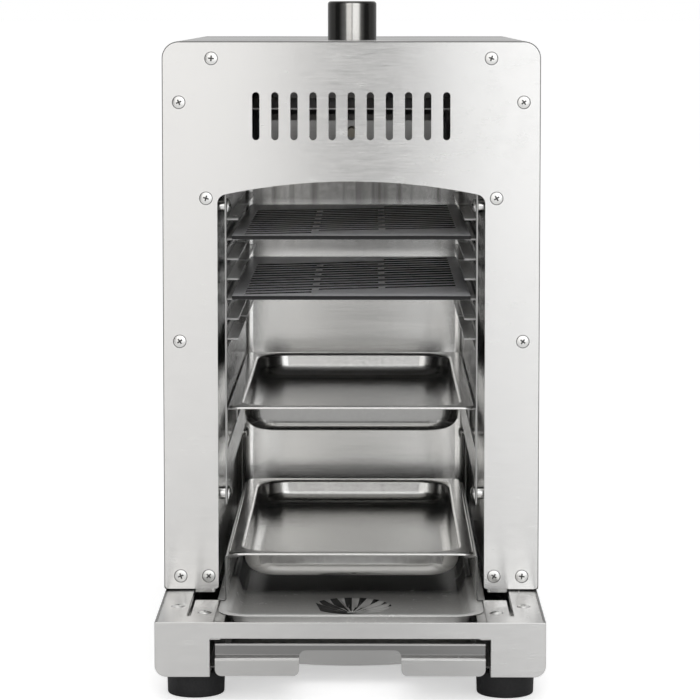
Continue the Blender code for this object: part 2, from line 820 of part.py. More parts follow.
def make_base(foot_holes, screw_holes):
    """Side walls and bottom flanges bent from sheet, ledges inside, and the two end walls."""
    middle = BASE_SHEET / 2
    wall = BASE_WIDTH / 2 - middle
    flange = DRAWER_OPENING_WIDTH / 2
    side = [(-wall, BASE_TOP), (-wall, BASE_Z + middle), (-flange, BASE_Z + middle)]
    path = round_corners(side, BASE_BEND - middle, CORNER_STEPS, closed=False)
    base = bent_sheet(
        "base_frame", path, "Y", FRONT_Y + middle, BACK_Y - middle, BASE_SHEET,
        material("brushed_steel", BRUSHED),
    )
    mirrored(base)
    shelf = wall - LEDGE_DEPTH
    ledge = [(-wall, LEDGE_Z), (-shelf, LEDGE_Z), (-shelf, STEP_Z), (-shelf + STEP_REACH, STEP_Z)]
    ledges = bent_sheet(
        "base_ledges", ledge, "Y", FRONT_Y + middle, BACK_Y - middle, CASING_SHEET
    )
    mirrored(ledges)
    front = flat_piece("base_front", [base_end_outline(True)], FRONT_Y + middle, BASE_SHEET, "Y")
    back = flat_piece("base_back", [base_end_outline(False)], BACK_Y - middle, BASE_SHEET, "Y")
    join(base, ledges, front, back)
    cut_group(base, foot_holes)
    cut_group(base, screw_holes)


def make_corner_plates(screw_holes):
    look = material("brushed_steel", BRUSHED)
    outer = BASE_WIDTH / 2 - BASE_SHEET - SEAT
    front = FRONT_Y + BASE_SHEET + SEAT
    back = PANEL_Y + CORNER_PLATE_UNDER
    slot_outer = CORNER_SLOT_X + CORNER_SLOT_WIDTH
    slot_end = PANEL_Y - CORNER_SLOT_REACH
    notch = PANEL_Y - CORNER_NOTCH_REACH
    top = BASE_TOP - SEAT
    for side, sign in SIDES.items():
        corners = [
            (outer, front), (outer, back), (slot_outer, back), (slot_outer, slot_end),
            (CORNER_SLOT_X, slot_end), (CORNER_SLOT_X, notch), (CORNER_PLATE_INNER, notch),
            (CORNER_PLATE_INNER, front),
        ]
        radii = [CORNER_PLATE_ROUND, 0, 0, 0, 0, 0, CORNER_PLATE_ROUND, CORNER_PLATE_ROUND]
        outline = [(sign * x, y) for x, y in round_corners(corners, radii)]
        name = f"base_corner_plate_{side}"
        middle = top - CORNER_PLATE_SHEET / 2
        plate = flat_piece(name, [outline], middle, CORNER_PLATE_SHEET, "Z", look)
        cut_group(plate, screw_holes)


def make_funnel(name, place):
    """A shallow cone with radial flutes and a drain hole, as one thin ring-shaped solid."""
    count = FUNNEL_FLUTES * 2
    station_shares = ((1.0, 0.0), (0.80, 0.5), (0.45, 1.0), (0.0, 0.3))
    mesh = bpy.data.meshes.new(name)
    shape = bmesh.new()
    loops = []
    for reach_share, flute_share in station_shares:
        radius = FUNNEL_DRAIN + (FUNNEL_RADIUS - FUNNEL_DRAIN) * reach_share
        depth = -FUNNEL_DEPTH * (1 - reach_share)
        loop = []
        for index in range(count):
            angle = 2 * math.pi * index / count
            ripple = FUNNEL_FLUTE_DEPTH * flute_share * (index % 2)
            spot = (radius * math.cos(angle), radius * math.sin(angle), depth - ripple)
            loop.append(shape.verts.new(spot))
        loops.append(loop)
    for outer, inner in zip(loops, loops[1:]):
        for index in range(count):
            after = (index + 1) % count
            shape.faces.new((outer[index], outer[after], inner[after], inner[index]))
    bmesh.ops.recalc_face_normals(shape, faces=shape.faces)
    shape.to_mesh(mesh)
    shape.free()
    made = add_object(name, mesh, None, place)
    thicken(made, DRIP_SHEET)
    return made


def make_drip_floor():
    """A shallow polished tray hung on the base's inner steps, with a fluted drain."""
    front = PANEL_Y - DRIP_FRONT_REACH
    back = BACK_Y - DRIP_BACK_GAP
    middle = (0, (front + back) / 2)
    half_y = (back - front) / 2
    rim = STEP_Z + CASING_SHEET / 2 + SEAT + DRIP_SHEET / 2
    floor = rim - DRIP_DEPTH
    inner = DRIP_RIM_HALF - DRIP_RIM_WIDTH
    inner_y = half_y - DRIP_RIM_WIDTH
    low = inner - DRIP_SLOPE
    low_y = inner_y - DRIP_SLOPE
    bottom_round = DRIP_SLOPE / 2
    rings = [
        ring(DRIP_RIM_HALF, half_y, DRIP_CORNER + DRIP_RIM_WIDTH, rim, middle),
        ring(inner, inner_y, DRIP_CORNER, rim, middle),
        ring(low, low_y, DRIP_CORNER, floor + bottom_round, middle),
        ring(low - bottom_round, low_y - bottom_round, DRIP_CORNER, floor, middle),
    ]
    tray = lofted("drip_floor", rings, DRIP_SHEET, material("polished_steel", POLISHED))
    drain = (0, PANEL_Y + FUNNEL_SETBACK, floor)
    reach = DRIP_SHEET + OVERRUN
    inset = FUNNEL_RADIUS - SKIN_OVERLAP
    opening = [(0, reach), (inset, reach), (inset, -reach), (0, -reach)]
    cut(tray, turned("drain_opening", opening, FUNNEL_FLUTES * 2, None, drain))
    join(tray, make_funnel("drain_funnel", drain))
    shade(tray)


def drawer_front_back():
    """The y of the drawer front's back face at its lower lip."""
    return FRONT_Y + DRAWER_INSET + DRAWER_FRONT_SHEET


def finger_plate(low, middle):
    """The plate behind the finger cut-out, its lower edge bowed down in the middle."""
    half = FINGER_WIDTH / 2 + FINGER_PLATE_OVERLAP
    shares = [2 * step / FINGER_PLATE_STEPS - 1 for step in range(FINGER_PLATE_STEPS + 1)]
    bottom = low + FINGER_PLATE_LIFT
    top = low + FINGER_HEIGHT + FINGER_PLATE_OVERLAP / 2
    outline = [(half * share, bottom + FINGER_PLATE_BOW * share * share) for share in shares]
    outline += [(half, top), (-half, top)]
    return flat_piece("finger_plate", [outline], middle, DRAWER_FRONT_SHEET, "Y")


def make_drawer():
    sheet = DRAWER_FRONT_SHEET
    face = FRONT_Y + DRAWER_INSET + sheet / 2
    low = BASE_Z + DRAWER_LIFT
    lip = low + DRAWER_LIP_HEIGHT
    top = low + DRAWER_FRONT_HEIGHT - sheet / 2
    path = [
        (face, low),
        (face, lip),
        (face + DRAWER_SLOPE, lip + DRAWER_SLOPE / 2),
        (face + DRAWER_SLOPE, top),
        (face + DRAWER_SLOPE - DRAWER_HEM, top),
    ]
    half = DRAWER_FRONT_WIDTH / 2
    look = material("brushed_steel", BRUSHED)
    front = bent_sheet("drawer_front", path, "X", -half, half, sheet, look)
    finger = FINGER_WIDTH / 2
    flare = finger + 2 * FINGER_ROUND
    foot = low - END_INSET
    outline = [
        (-flare, low - OVERRUN), (flare, low - OVERRUN), (flare, foot), (finger, foot),
        (finger, low + FINGER_HEIGHT), (-finger, low + FINGER_HEIGHT), (-finger, foot), (-flare, foot),
    ]
    radii = [0, 0, 0, FINGER_ROUND, FINGER_ROUND, FINGER_ROUND, FINGER_ROUND, 0]
    notch_depth = DRAWER_SLOPE + sheet + OVERRUN
    notch = flat_piece(
        "finger_notch", [round_corners(outline, radii)], face + DRAWER_SLOPE / 2,
        2 * notch_depth, "Y",
    )
    cut(front, notch)
    join(front, finger_plate(low, face + DRAWER_SLOPE + sheet - SKIN_OVERLAP))

    start = drawer_front_back() + SEAT
    end = start + DRAWER_LENGTH
    bowl_start = start + DRAWER_BOWL_SETBACK
    bowl_end = end - DRAWER_TRAY_LIP
    middle = (0, (start + end) / 2)
    bowl_middle = (0, (bowl_start + bowl_end) / 2)
    thickness = DRAWER_TRAY_SHEET
    rim = DRAWER_TRAY_TOP - thickness / 2
    floor = BASE_Z + DRAWER_LIFT + thickness
    wall = DRAWER_TRAY_HALF - thickness / 2
    wall_y = (bowl_end - bowl_start) / 2
    low_x = wall - DRAWER_TRAY_WALL_SLOPE
    low_y = wall_y - DRAWER_TRAY_WALL_SLOPE
    rings = [
        ring(wall + DRAWER_TRAY_LIP, DRAWER_LENGTH / 2, DRAWER_TRAY_CORNER, rim, middle),
        ring(wall, wall_y, DRAWER_TRAY_CORNER, rim, bowl_middle),
        ring(low_x, low_y, DRAWER_TRAY_CORNER, floor, bowl_middle),
    ]
    look = material("satin_steel", SATIN)
    tray = lofted("drawer_tray", rings, thickness, look)
    notch_low = (-DRAWER_NOTCH_HALF, start - OVERRUN, rim - OVERRUN)
    notch_high = (DRAWER_NOTCH_HALF, bowl_start - DRAWER_TRAY_LIP, rim + OVERRUN)
    cut(tray, box("tray_notch", notch_low, notch_high))
    shade(tray)


def make_runners():
    """Angle runners on the base's bottom flanges that carry the drawer tray's side lips."""
    look = material("satin_steel", SATIN)
    foot = BASE_Z + BASE_SHEET + SEAT + RUNNER_SHEET / 2
    ledge = DRAWER_TRAY_TOP - DRAWER_TRAY_SHEET - SEAT - RUNNER_SHEET / 2
    web = DRAWER_TRAY_HALF + RUNNER_STANDOFF + RUNNER_REACH
    start = FRONT_Y + BASE_SHEET + SEAT
    for side, sign in SIDES.items():
        path = [
            (sign * (web + RUNNER_FOOT), foot),
            (sign * web, foot),
            (sign * web, ledge),
            (sign * (web - RUNNER_REACH), ledge),
        ]
        bent_sheet(
            f"drawer_runner_{side}", path, "Y", start, start + RUNNER_LENGTH, RUNNER_SHEET, look
        )


# Tower shell

def tower_arch(inset, foot, corner):
    """Outline of the tower's front, open for a smaller one inside it."""
    half = TOWER_WIDTH / 2 - inset
    points = [(-half, foot), (-half, TOWER_TOP - inset), (half, TOWER_TOP - inset), (half, foot)]
    return points, [0, corner, corner, 0]


def flange_outline():
    """The casing's inward flange: an upside-down U that the end panels are screwed to."""
    skin = CASING_SHEET / 2
    foot = TOWER_Z + skin
    outer, outer_radii = tower_arch(skin, foot, TOWER_CORNER - skin)
    inner, inner_radii = tower_arch(CASING_FLANGE, foot, CASING_SHEET)
    return round_corners(outer + inner[::-1], outer_radii + inner_radii[::-1], CORNER_STEPS)


def make_casing(screw_holes):
    """Sides and top bent from one sheet, with inward feet and flanges at both ends."""
    skin = CASING_SHEET / 2
    half = TOWER_WIDTH / 2 - skin
    foot = TOWER_Z + skin
    top = TOWER_TOP - skin
    path = [
        (-half + CASING_FOOT, foot), (-half, foot), (-half, top),
        (half, top), (half, foot), (half - CASING_FOOT, foot),
    ]
    corner = TOWER_CORNER - skin
    path = round_corners(path, [0, 0, corner, corner, 0, 0], CORNER_STEPS, closed=False)
    casing = bent_sheet(
        "outer_casing", path, "Y", CASING_FRONT, CASING_BACK, CASING_SHEET,
        material("brushed_steel", BRUSHED),
    )
    inside = CASING_SHEET / 2 + END_INSET
    front = flat_piece("front_flange", [flange_outline()], CASING_FRONT + inside, CASING_SHEET, "Y")
    back = flat_piece("back_flange", [flange_outline()], CASING_BACK - inside, CASING_SHEET, "Y")
    join(casing, front, back)
    reach = CASING_SHEET + OVERRUN
    radius = KNOB_RADIUS + KNOB_GAP
    hole = [(0, reach), (radius, reach), (radius, -reach), (0, -reach)]
    cut(casing, turned("knob_hole", hole, KNOB_SEGMENTS, None, (0, KNOB_Y, TOWER_TOP)))
    cut_group(casing, screw_holes)
    use_manifold_solver(casing)
    shade(casing)


def slot_outline(centre, width, height):
    """A slot with round ends, standing up where it is taller than it is wide."""
    radius = min(width, height) / 2
    run = (max(width, height) - min(width, height)) / 2
    points = []
    for end, turn in ((1, 0), (-1, math.pi)):
        for step in range(VENT_END_STEPS + 1):
            angle = turn + math.pi * step / VENT_END_STEPS
            across, along = radius * math.cos(angle), end * run + radius * math.sin(angle)
            if width > height:
                across, along = along, -across
            points.append((centre[0] + across, centre[1] + along))
    return points


def opening_outline():
    """Left foot, arch and right foot of the cooking opening, in drawing order."""
    half = OPENING_WIDTH / 2
    spring = TOWER_TOP - OPENING_CORNER_DROP
    radius = (half * half + OPENING_RISE * OPENING_RISE) / (2 * OPENING_RISE)
    centre = spring + OPENING_RISE - radius
    sweep = math.asin(half / radius)
    angles = [sweep * (1 - 2 * step / ARCH_STEPS) for step in range(ARCH_STEPS + 1)]
    return [(radius * math.sin(angle), centre + radius * math.cos(angle)) for angle in angles]


def make_front_panel(screw_holes):
    foot = BASE_TOP + PANEL_LIFT
    outer, _ = tower_arch(PANEL_MARGIN, foot, 0)
    arch = opening_outline()
    half = OPENING_WIDTH / 2
    points = outer + [(half, foot)] + arch + [(-half, foot)]
    foot_round = PANEL_FOOT_ROUND
    corner = TOWER_CORNER - PANEL_MARGIN
    spring = [OPENING_ROUND] + [0] * (len(arch) - 2) + [OPENING_ROUND]
    radii = [foot_round, corner, corner, foot_round, foot_round] + spring + [foot_round]
    outlines = [round_corners(points, radii, CORNER_STEPS)]
    height = TOWER_TOP - VENT_DROP
    for index in range(VENT_COUNT):
        across = (index - (VENT_COUNT - 1) / 2) * VENT_PITCH
        outlines.append(slot_outline((across, height), VENT_WIDTH, VENT_HEIGHT))
    look = material("brushed_steel", BRUSHED)
    middle = PANEL_Y + PANEL_SHEET / 2
    panel = flat_piece("front_panel", outlines, middle, PANEL_SHEET, "Y", look)
    cut_group(panel, screw_holes)


def make_rear_panel():
    foot = BASE_TOP + PANEL_LIFT
    outer, _ = tower_arch(PANEL_MARGIN, foot, 0)
    corner = TOWER_CORNER - PANEL_MARGIN
    outlines = [round_corners(outer, [0, corner, corner, 0], CORNER_STEPS)]
    for index in range(REAR_VENT_COUNT):
        height = TOWER_TOP - REAR_VENT_DROP - index * REAR_VENT_PITCH
        outlines.append(slot_outline((0, height), REAR_VENT_WIDTH, REAR_VENT_HEIGHT))
    outlines.append(circle((INLET_X, INLET_Z), INLET_RADIUS + SEAT, TURN_SEGMENTS))
    look = material("brushed_steel", BRUSHED)
    flat_piece("rear_panel", outlines, BACK_Y - REAR_SHEET / 2, REAR_SHEET, "Y", look)


# Cooking chamber

def make_liner(screw_holes, bolt_holes):
    """Sides and back of the chamber from one sheet, flanged outwards behind the panel."""
    skin = LINER_SHEET / 2
    half = LINER_WIDTH / 2 - skin
    front = CASING_FRONT + skin
    back = LINER_BACK - skin
    flange = half + LINER_FLANGE
    path = [(-flange, front), (-half, front), (-half, back), (half, back), (half, front), (flange, front)]
    path = round_corners(path, [0, 0, LINER_CORNER, LINER_CORNER, 0, 0], CORNER_STEPS, closed=False)
    look = material("polished_steel", POLISHED)
    liner = bent_sheet("chamber_liner", path, "Z", LINER_Z, LINER_TOP, LINER_SHEET, look)
    cut_group(liner, screw_holes)
    cut_group(liner, bolt_holes)
    shade(liner)


def make_roof():
    edge = rectangle(
        (-ROOF_HALF, CASING_FRONT + ROOF_MARGIN), (ROOF_HALF, LINER_BACK + LINER_SHEET)
    )
    half_x = TILE_WIDTH / 2 - TILE_BEARING
    half_y = TILE_LENGTH / 2 - TILE_BEARING
    window = rectangle((-half_x, BURNER_Y - half_y), (half_x, BURNER_Y + half_y))
    look = material("satin_steel", SATIN)
    flat_piece("chamber_roof", [edge, window], ROOF_Z + ROOF_SHEET / 2, ROOF_SHEET, "Z", look)


def rack_windows():
    """Front and back end of each window along the rack's length."""
    start = PANEL_Y + RACK_SETBACK
    run = (RACK_LENGTH - RACK_WINDOW_MARGIN) / RACK_WINDOWS
    return [
        (start + RACK_WINDOW_MARGIN + index * run, start + (index + 1) * run)
        for index in range(RACK_WINDOWS)
    ]


def make_racks(bolt_holes):
    """Side plates with ledges bent inwards from the windows, seven levels and one for the pan."""
    look = material("satin_steel", SATIN)
    start = PANEL_Y + RACK_SETBACK
    end = start + RACK_LENGTH
    tab = RACK_BOTTOM - RACK_TAB_DEPTH
    tab_end = start + RACK_TAB_LENGTH
    edge = [
        (start, tab), (tab_end, tab), (tab_end, RACK_BOTTOM), (end, RACK_BOTTOM),
        (end, RACK_TOP), (start, RACK_TOP),
    ]
    levels = [(RACK_LEDGE_TOP - index * RACK_PITCH, RACK_WINDOW_HEIGHT) for index in range(RACK_LEVELS)]
    levels.append((RACK_LOW_LEDGE_TOP, RACK_LOW_WINDOW_HEIGHT))
    outlines = [edge]
    for height, drop in levels:
        for front, back in rack_windows():
            outlines.append(rectangle((front, height - drop), (back, height - RACK_SHEET)))
    for side, sign in SIDES.items():
        rack = flat_piece(f"rack_{side}", outlines, sign * RACK_HALF, RACK_SHEET, "X", look)
        outer = sign * (RACK_HALF + RACK_SHEET / 4)
        inner = sign * (RACK_HALF - RACK_SHEET / 2 - RACK_LEDGE_REACH)
        for level, (height, _) in enumerate(levels):
            for front, back in rack_windows():
                low = (min(outer, inner), front + END_INSET, height - RACK_SHEET - END_INSET)
                high = (max(outer, inner), back - END_INSET, height)
                join(rack, box(f"ledge_{side}_{level}_{back:.3f}", low, high))
        cut_group(rack, bolt_holes)


def make_pan_rails():
    """Angle rails for the lower pan, standing on the drip floor's rim."""
    look = material("satin_steel", SATIN)
    rim_top = STEP_Z + CASING_SHEET / 2 + SEAT + DRIP_SHEET
    foot = rim_top + SEAT + RACK_SHEET / 2
    ledge = RAIL_LEDGE_TOP - RACK_SHEET / 2
    start = PANEL_Y + RACK_SETBACK
    inner = RACK_HALF - RACK_SHEET / 2 - RACK_LEDGE_REACH
    for side, sign in SIDES.items():
        path = [
            (sign * (RAIL_HALF + RAIL_FOOT), foot),
            (sign * RAIL_HALF, foot),
            (sign * RAIL_HALF, ledge),
            (sign * inner, ledge),
        ]
        bent_sheet(f"pan_rail_{side}", path, "Y", start, start + RACK_LENGTH, RACK_SHEET, look)


# Grates and pans

def grate_slots(front):
    """Slanting slots in three columns; every second row runs through the bridges."""
    columns = [[GRATE_WIDTH * share for share in shares] for shares in GRATE_COLUMN_SHARES]
    left, right = columns[0][0], columns[-1][1]
    rise = (right - left) * GRATE_SLOT_SLOPE_SHARE
    first = front + GRATE_MARGIN + GRATE_SLOT_WIDTH / 2
    run = GRATE_LENGTH - 2 * GRATE_MARGIN - GRATE_SLOT_WIDTH - rise
    pitch = run / (GRATE_ROWS - 1)
    slots = []
    for row in range(GRATE_ROWS):
        if row == 0:
            spans = columns[:1]
        elif row == GRATE_ROWS - 1:
            spans = columns[-1:]
        elif row % 2:
            spans = columns
        else:
            spans = ((left, right),)
        for start, end in spans:
            low = first + row * pitch + (start - left) * GRATE_SLOT_SLOPE_SHARE
            high = first + row * pitch + (end - left) * GRATE_SLOT_SLOPE_SHARE
            half = GRATE_SLOT_WIDTH / 2
            slots.append([(start, low - half), (end, high - half), (end, high + half), (start, low + half)])
    return slots


def make_grates():
    look = material("grate_steel", GRATE_STEEL)
    front = PANEL_Y + GRATE_SETBACK
    half = GRATE_WIDTH / 2
    skirt = GRATE_SHEET
    for name, level in (("grate_upper", UPPER_GRATE_LEVEL), ("grate_lower", LOWER_GRATE_LEVEL)):
        bottom = RACK_LEDGE_TOP - level * RACK_PITCH + SEAT
        top = bottom + GRATE_EDGE
        edge = rectangle((-half, front), (half, front + GRATE_LENGTH))
        hollow = rectangle((-half + skirt, front + skirt), (half - skirt, front + GRATE_LENGTH - skirt))
        sheet_middle = top - GRATE_SHEET / 2
        grate = flat_piece(name, [edge, *grate_slots(front)], sheet_middle, GRATE_SHEET, "Z", look)
        drop = GRATE_EDGE - GRATE_SHEET / 2
        rim = flat_piece(f"{name}_skirt", [edge, hollow], bottom + drop / 2, drop, "Z")
        join(grate, rim)


def make_pans():
    look = material("polished_steel", POLISHED)
    skin = PAN_SHEET / 2
    half_x = PAN_WIDTH / 2 - skin
    half_y = PAN_LENGTH / 2 - skin
    middle = (0, PANEL_Y + PAN_SETBACK + PAN_LENGTH / 2)
    body_x = half_x - PAN_RIM
    body_y = half_y - PAN_RIM
    low_x = body_x - PAN_WALL_SLOPE
    low_y = body_y - PAN_WALL_SLOPE
    fillet = PAN_FILLET * FILLET_MIDDLE_SHARE
    for name, seat in (("pan_upper", RACK_LOW_LEDGE_TOP), ("pan_lower", RAIL_LEDGE_TOP)):
        rim = seat + PAN_HANG - skin
        floor = rim - PAN_DEPTH + PAN_SHEET
        rings = [
            ring(half_x, half_y, PAN_OUTER_CORNER, rim + skin - PAN_LIP, middle),
            ring(half_x, half_y, PAN_OUTER_CORNER, rim - skin, middle),
            ring(half_x - skin, half_y - skin, PAN_OUTER_CORNER, rim, middle),
            ring(body_x + skin, body_y + skin, PAN_INNER_CORNER, rim, middle),
            ring(body_x, body_y, PAN_INNER_CORNER, rim - skin, middle),
            ring(low_x, low_y, PAN_INNER_CORNER, floor + PAN_FILLET, middle),
            ring(low_x - fillet, low_y - fillet, PAN_INNER_CORNER, floor + fillet, middle),
            ring(low_x - PAN_FILLET, low_y - PAN_FILLET, PAN_INNER_CORNER, floor, middle),
        ]
        shade(lofted(name, rings, PAN_SHEET, look))


# Burner and gas line

def make_burner():
    satin = material("satin_steel", SATIN)
    half_x, half_y = TILE_WIDTH / 2, TILE_LENGTH / 2
    tile_z = ROOF_TOP + SEAT
    tile = box(
        "burner_tile", (-half_x, BURNER_Y - half_y, tile_z),
        (half_x, BURNER_Y + half_y, tile_z + TILE_THICKNESS), material("burner_ceramic", CERAMIC),
    )
    round_over = tile.modifiers.new("Edges", "BEVEL")
    round_over.width = TILE_BEARING / 4
    round_over.segments = 1

    skin = HOUSING_SHEET / 2
    wall_x, wall_y = half_x + SEAT + skin, half_y + SEAT + skin
    foot = ROOF_TOP + SEAT + skin
    top = ROOF_TOP + HOUSING_HEIGHT
    middle = (0, BURNER_Y)
    flange = HOUSING_FLANGE
    shoulder = HOUSING_SHOULDER
    rings = [
        ring(wall_x + flange, wall_y + flange, HOUSING_CORNER, foot, middle),
        ring(wall_x, wall_y, TILE_BEARING / 4, foot, middle),
        ring(wall_x, wall_y, TILE_BEARING / 4, top - shoulder, middle),
        ring(wall_x - shoulder, wall_y - shoulder, TILE_BEARING / 4, top, middle),
    ]
    housing = lofted("burner_housing", rings, HOUSING_SHEET, satin)
    mouth = BURNER_Y + wall_y
    inside = TUBE_RADIUS + SEAT
    reach = HOUSING_SHEET + OVERRUN
    bore = [(0, reach), (inside, reach), (inside, -reach), (0, -reach)]
    along = (-math.pi / 2, 0, 0)
    cut(housing, turned("tube_bore", bore, TURN_SEGMENTS, None, (TUBE_X, mouth, TUBE_Z), along))
    tip = ELECTRODE_RADIUS + SEAT
    electrode_y = BURNER_Y - wall_y
    bore = [(0, reach), (tip, reach), (tip, -reach), (0, -reach)]
    place = (0, electrode_y, top - shoulder - ELECTRODE_RADIUS - shoulder)
    cut(housing, turned("electrode_bore", bore, TURN_SEGMENTS, None, place, along))

    grille_x = half_x - TILE_BEARING + GRILLE_OVERLAP
    grille_y = half_y - TILE_BEARING + GRILLE_OVERLAP
    outlines = [rectangle((-grille_x, BURNER_Y - grille_y), (grille_x, BURNER_Y + grille_y))]
    run = (2 * grille_y - GRILLE_BAR) / GRILLE_SLOTS
    for index in range(GRILLE_SLOTS):
        start = BURNER_Y - grille_y + GRILLE_BAR + index * run
        slot_x = grille_x - GRILLE_BAR
        outlines.append(rectangle((-slot_x, start), (slot_x, start + run - GRILLE_BAR)))
    flat_piece("burner_grille", outlines, ROOF_Z - SEAT - GRILLE_SHEET / 2, GRILLE_SHEET, "Z", satin)

    outer, inner = TUBE_RADIUS, TUBE_RADIUS - TUBE_WALL
    wide = TUBE_MOUTH_RADIUS
    straight = TUBE_LENGTH - TUBE_MOUTH_LENGTH
    profile = [
        (wide, TUBE_LENGTH), (outer, straight), (outer, -TUBE_ENTRY),
        (inner, -TUBE_ENTRY), (inner, straight), (wide - TUBE_WALL, TUBE_LENGTH),
    ]
    tube = turned("mixing_tube", profile, TURN_SEGMENTS, material("aluminium", ALUMINIUM),
                  (TUBE_X, mouth, TUBE_Z), along, closed=True)
    shade(tube)

    skin = SHIELD_SHEET / 2
    foot = ROOF_TOP + SEAT + skin
    top = ROOF_TOP + SHIELD_HEIGHT
    out = SHIELD_HALF + SHIELD_FOOT
    path = [(-out, foot), (-SHIELD_HALF, foot), (-SHIELD_HALF, top), (SHIELD_HALF, top),
            (SHIELD_HALF, foot), (out, foot)]
    reach = wall_y + HOUSING_FLANGE + SHIELD_OVERHANG
    bent_sheet("heat_shield", path, "Y", BURNER_Y - reach, BURNER_Y + reach, SHIELD_SHEET, satin)

    ceramic = material("burner_ceramic", CERAMIC)
    body = ELECTRODE_RADIUS
    spike = ELECTRODE_TIP_RADIUS
    tail = ELECTRODE_DROP - ELECTRODE_LENGTH
    profile = [
        (0, ELECTRODE_DROP), (body, ELECTRODE_DROP), (body, tail + ELECTRODE_TIP),
        (spike, tail + ELECTRODE_TIP), (spike, tail), (0, tail),
    ]
    back = (math.pi / 2, 0, 0)
    shade(turned("igniter_electrode", profile, TURN_SEGMENTS // 2, ceramic, place, back))


def make_gas_line():
    brass = material("brass", BRASS)
    along = (-math.pi / 2, 0, 0)
    side = VALVE_WIDTH / 2 + VALVE_PORT_LENGTH + SEAT
    wall_y = TILE_LENGTH / 2 + SEAT + HOUSING_SHEET / 2
    mouth = BURNER_Y + wall_y + TUBE_LENGTH

    nipple = INLET_NIPPLE_RADIUS
    skin = REAR_SHEET + SEAT
    reach = INLET_REACH
    profile = [
        (0, reach), (nipple, reach), (nipple, reach * INLET_STEP_SHARE),
        (INLET_RADIUS, reach * INLET_STEP_SHARE), (INLET_RADIUS, -skin),
        (INLET_FLANGE_RADIUS, -skin), (INLET_FLANGE_RADIUS, -skin - INLET_TAIL / 3),
        (nipple, -skin - INLET_TAIL / 3), (nipple, -skin - INLET_TAIL), (0, -skin - INLET_TAIL),
    ]
    inlet = turned("gas_inlet", profile, TURN_SEGMENTS, brass, (INLET_X, BACK_Y, INLET_Z), along)
    shade(inlet)

    tail = BACK_Y - skin - INLET_TAIL - SEAT
    route = [
        (INLET_X, tail, INLET_Z), (INLET_X, tail - PIPE_LEAD, INLET_Z),
        (INLET_X, KNOB_Y + PIPE_LEAD, PORT_Z), (INLET_X, KNOB_Y, PORT_Z), (-side, KNOB_Y, PORT_Z),
    ]
    route = round_corners(route, PIPE_BEND, PIPE_BEND_STEPS, closed=False)
    pipe("supply_pipe", route, PIPE_RADIUS, material("aluminium", ALUMINIUM))

    body, nozzle = JET_RADIUS, JET_NOZZLE_RADIUS
    neck = JET_LENGTH - JET_NOZZLE
    profile = [(0, neck), (body, neck), (body, 0), (nozzle, 0), (nozzle, -JET_NOZZLE), (0, -JET_NOZZLE)]
    jet = turned("gas_jet", profile, TURN_SEGMENTS // 2, brass, (TUBE_X, mouth, TUBE_Z), along)
    shade(jet)

    behind = mouth + neck + SEAT
    out = TUBE_X + side
    turnback = behind + 2 * PIPE_BEND
    route = [
        (side, KNOB_Y, PORT_Z), (out, KNOB_Y, PORT_Z), (out, turnback, PORT_Z),
        (TUBE_X, turnback, PORT_Z), (TUBE_X, turnback, TUBE_Z), (TUBE_X, behind, TUBE_Z),
    ]
    radii = [0, PIPE_BEND, PIPE_BEND, PIPE_BEND, PIPE_BEND, 0]
    route = round_corners(route, radii, PIPE_BEND_STEPS, closed=False)
    pipe("burner_pipe", route, PIPE_RADIUS, material("aluminium", ALUMINIUM))


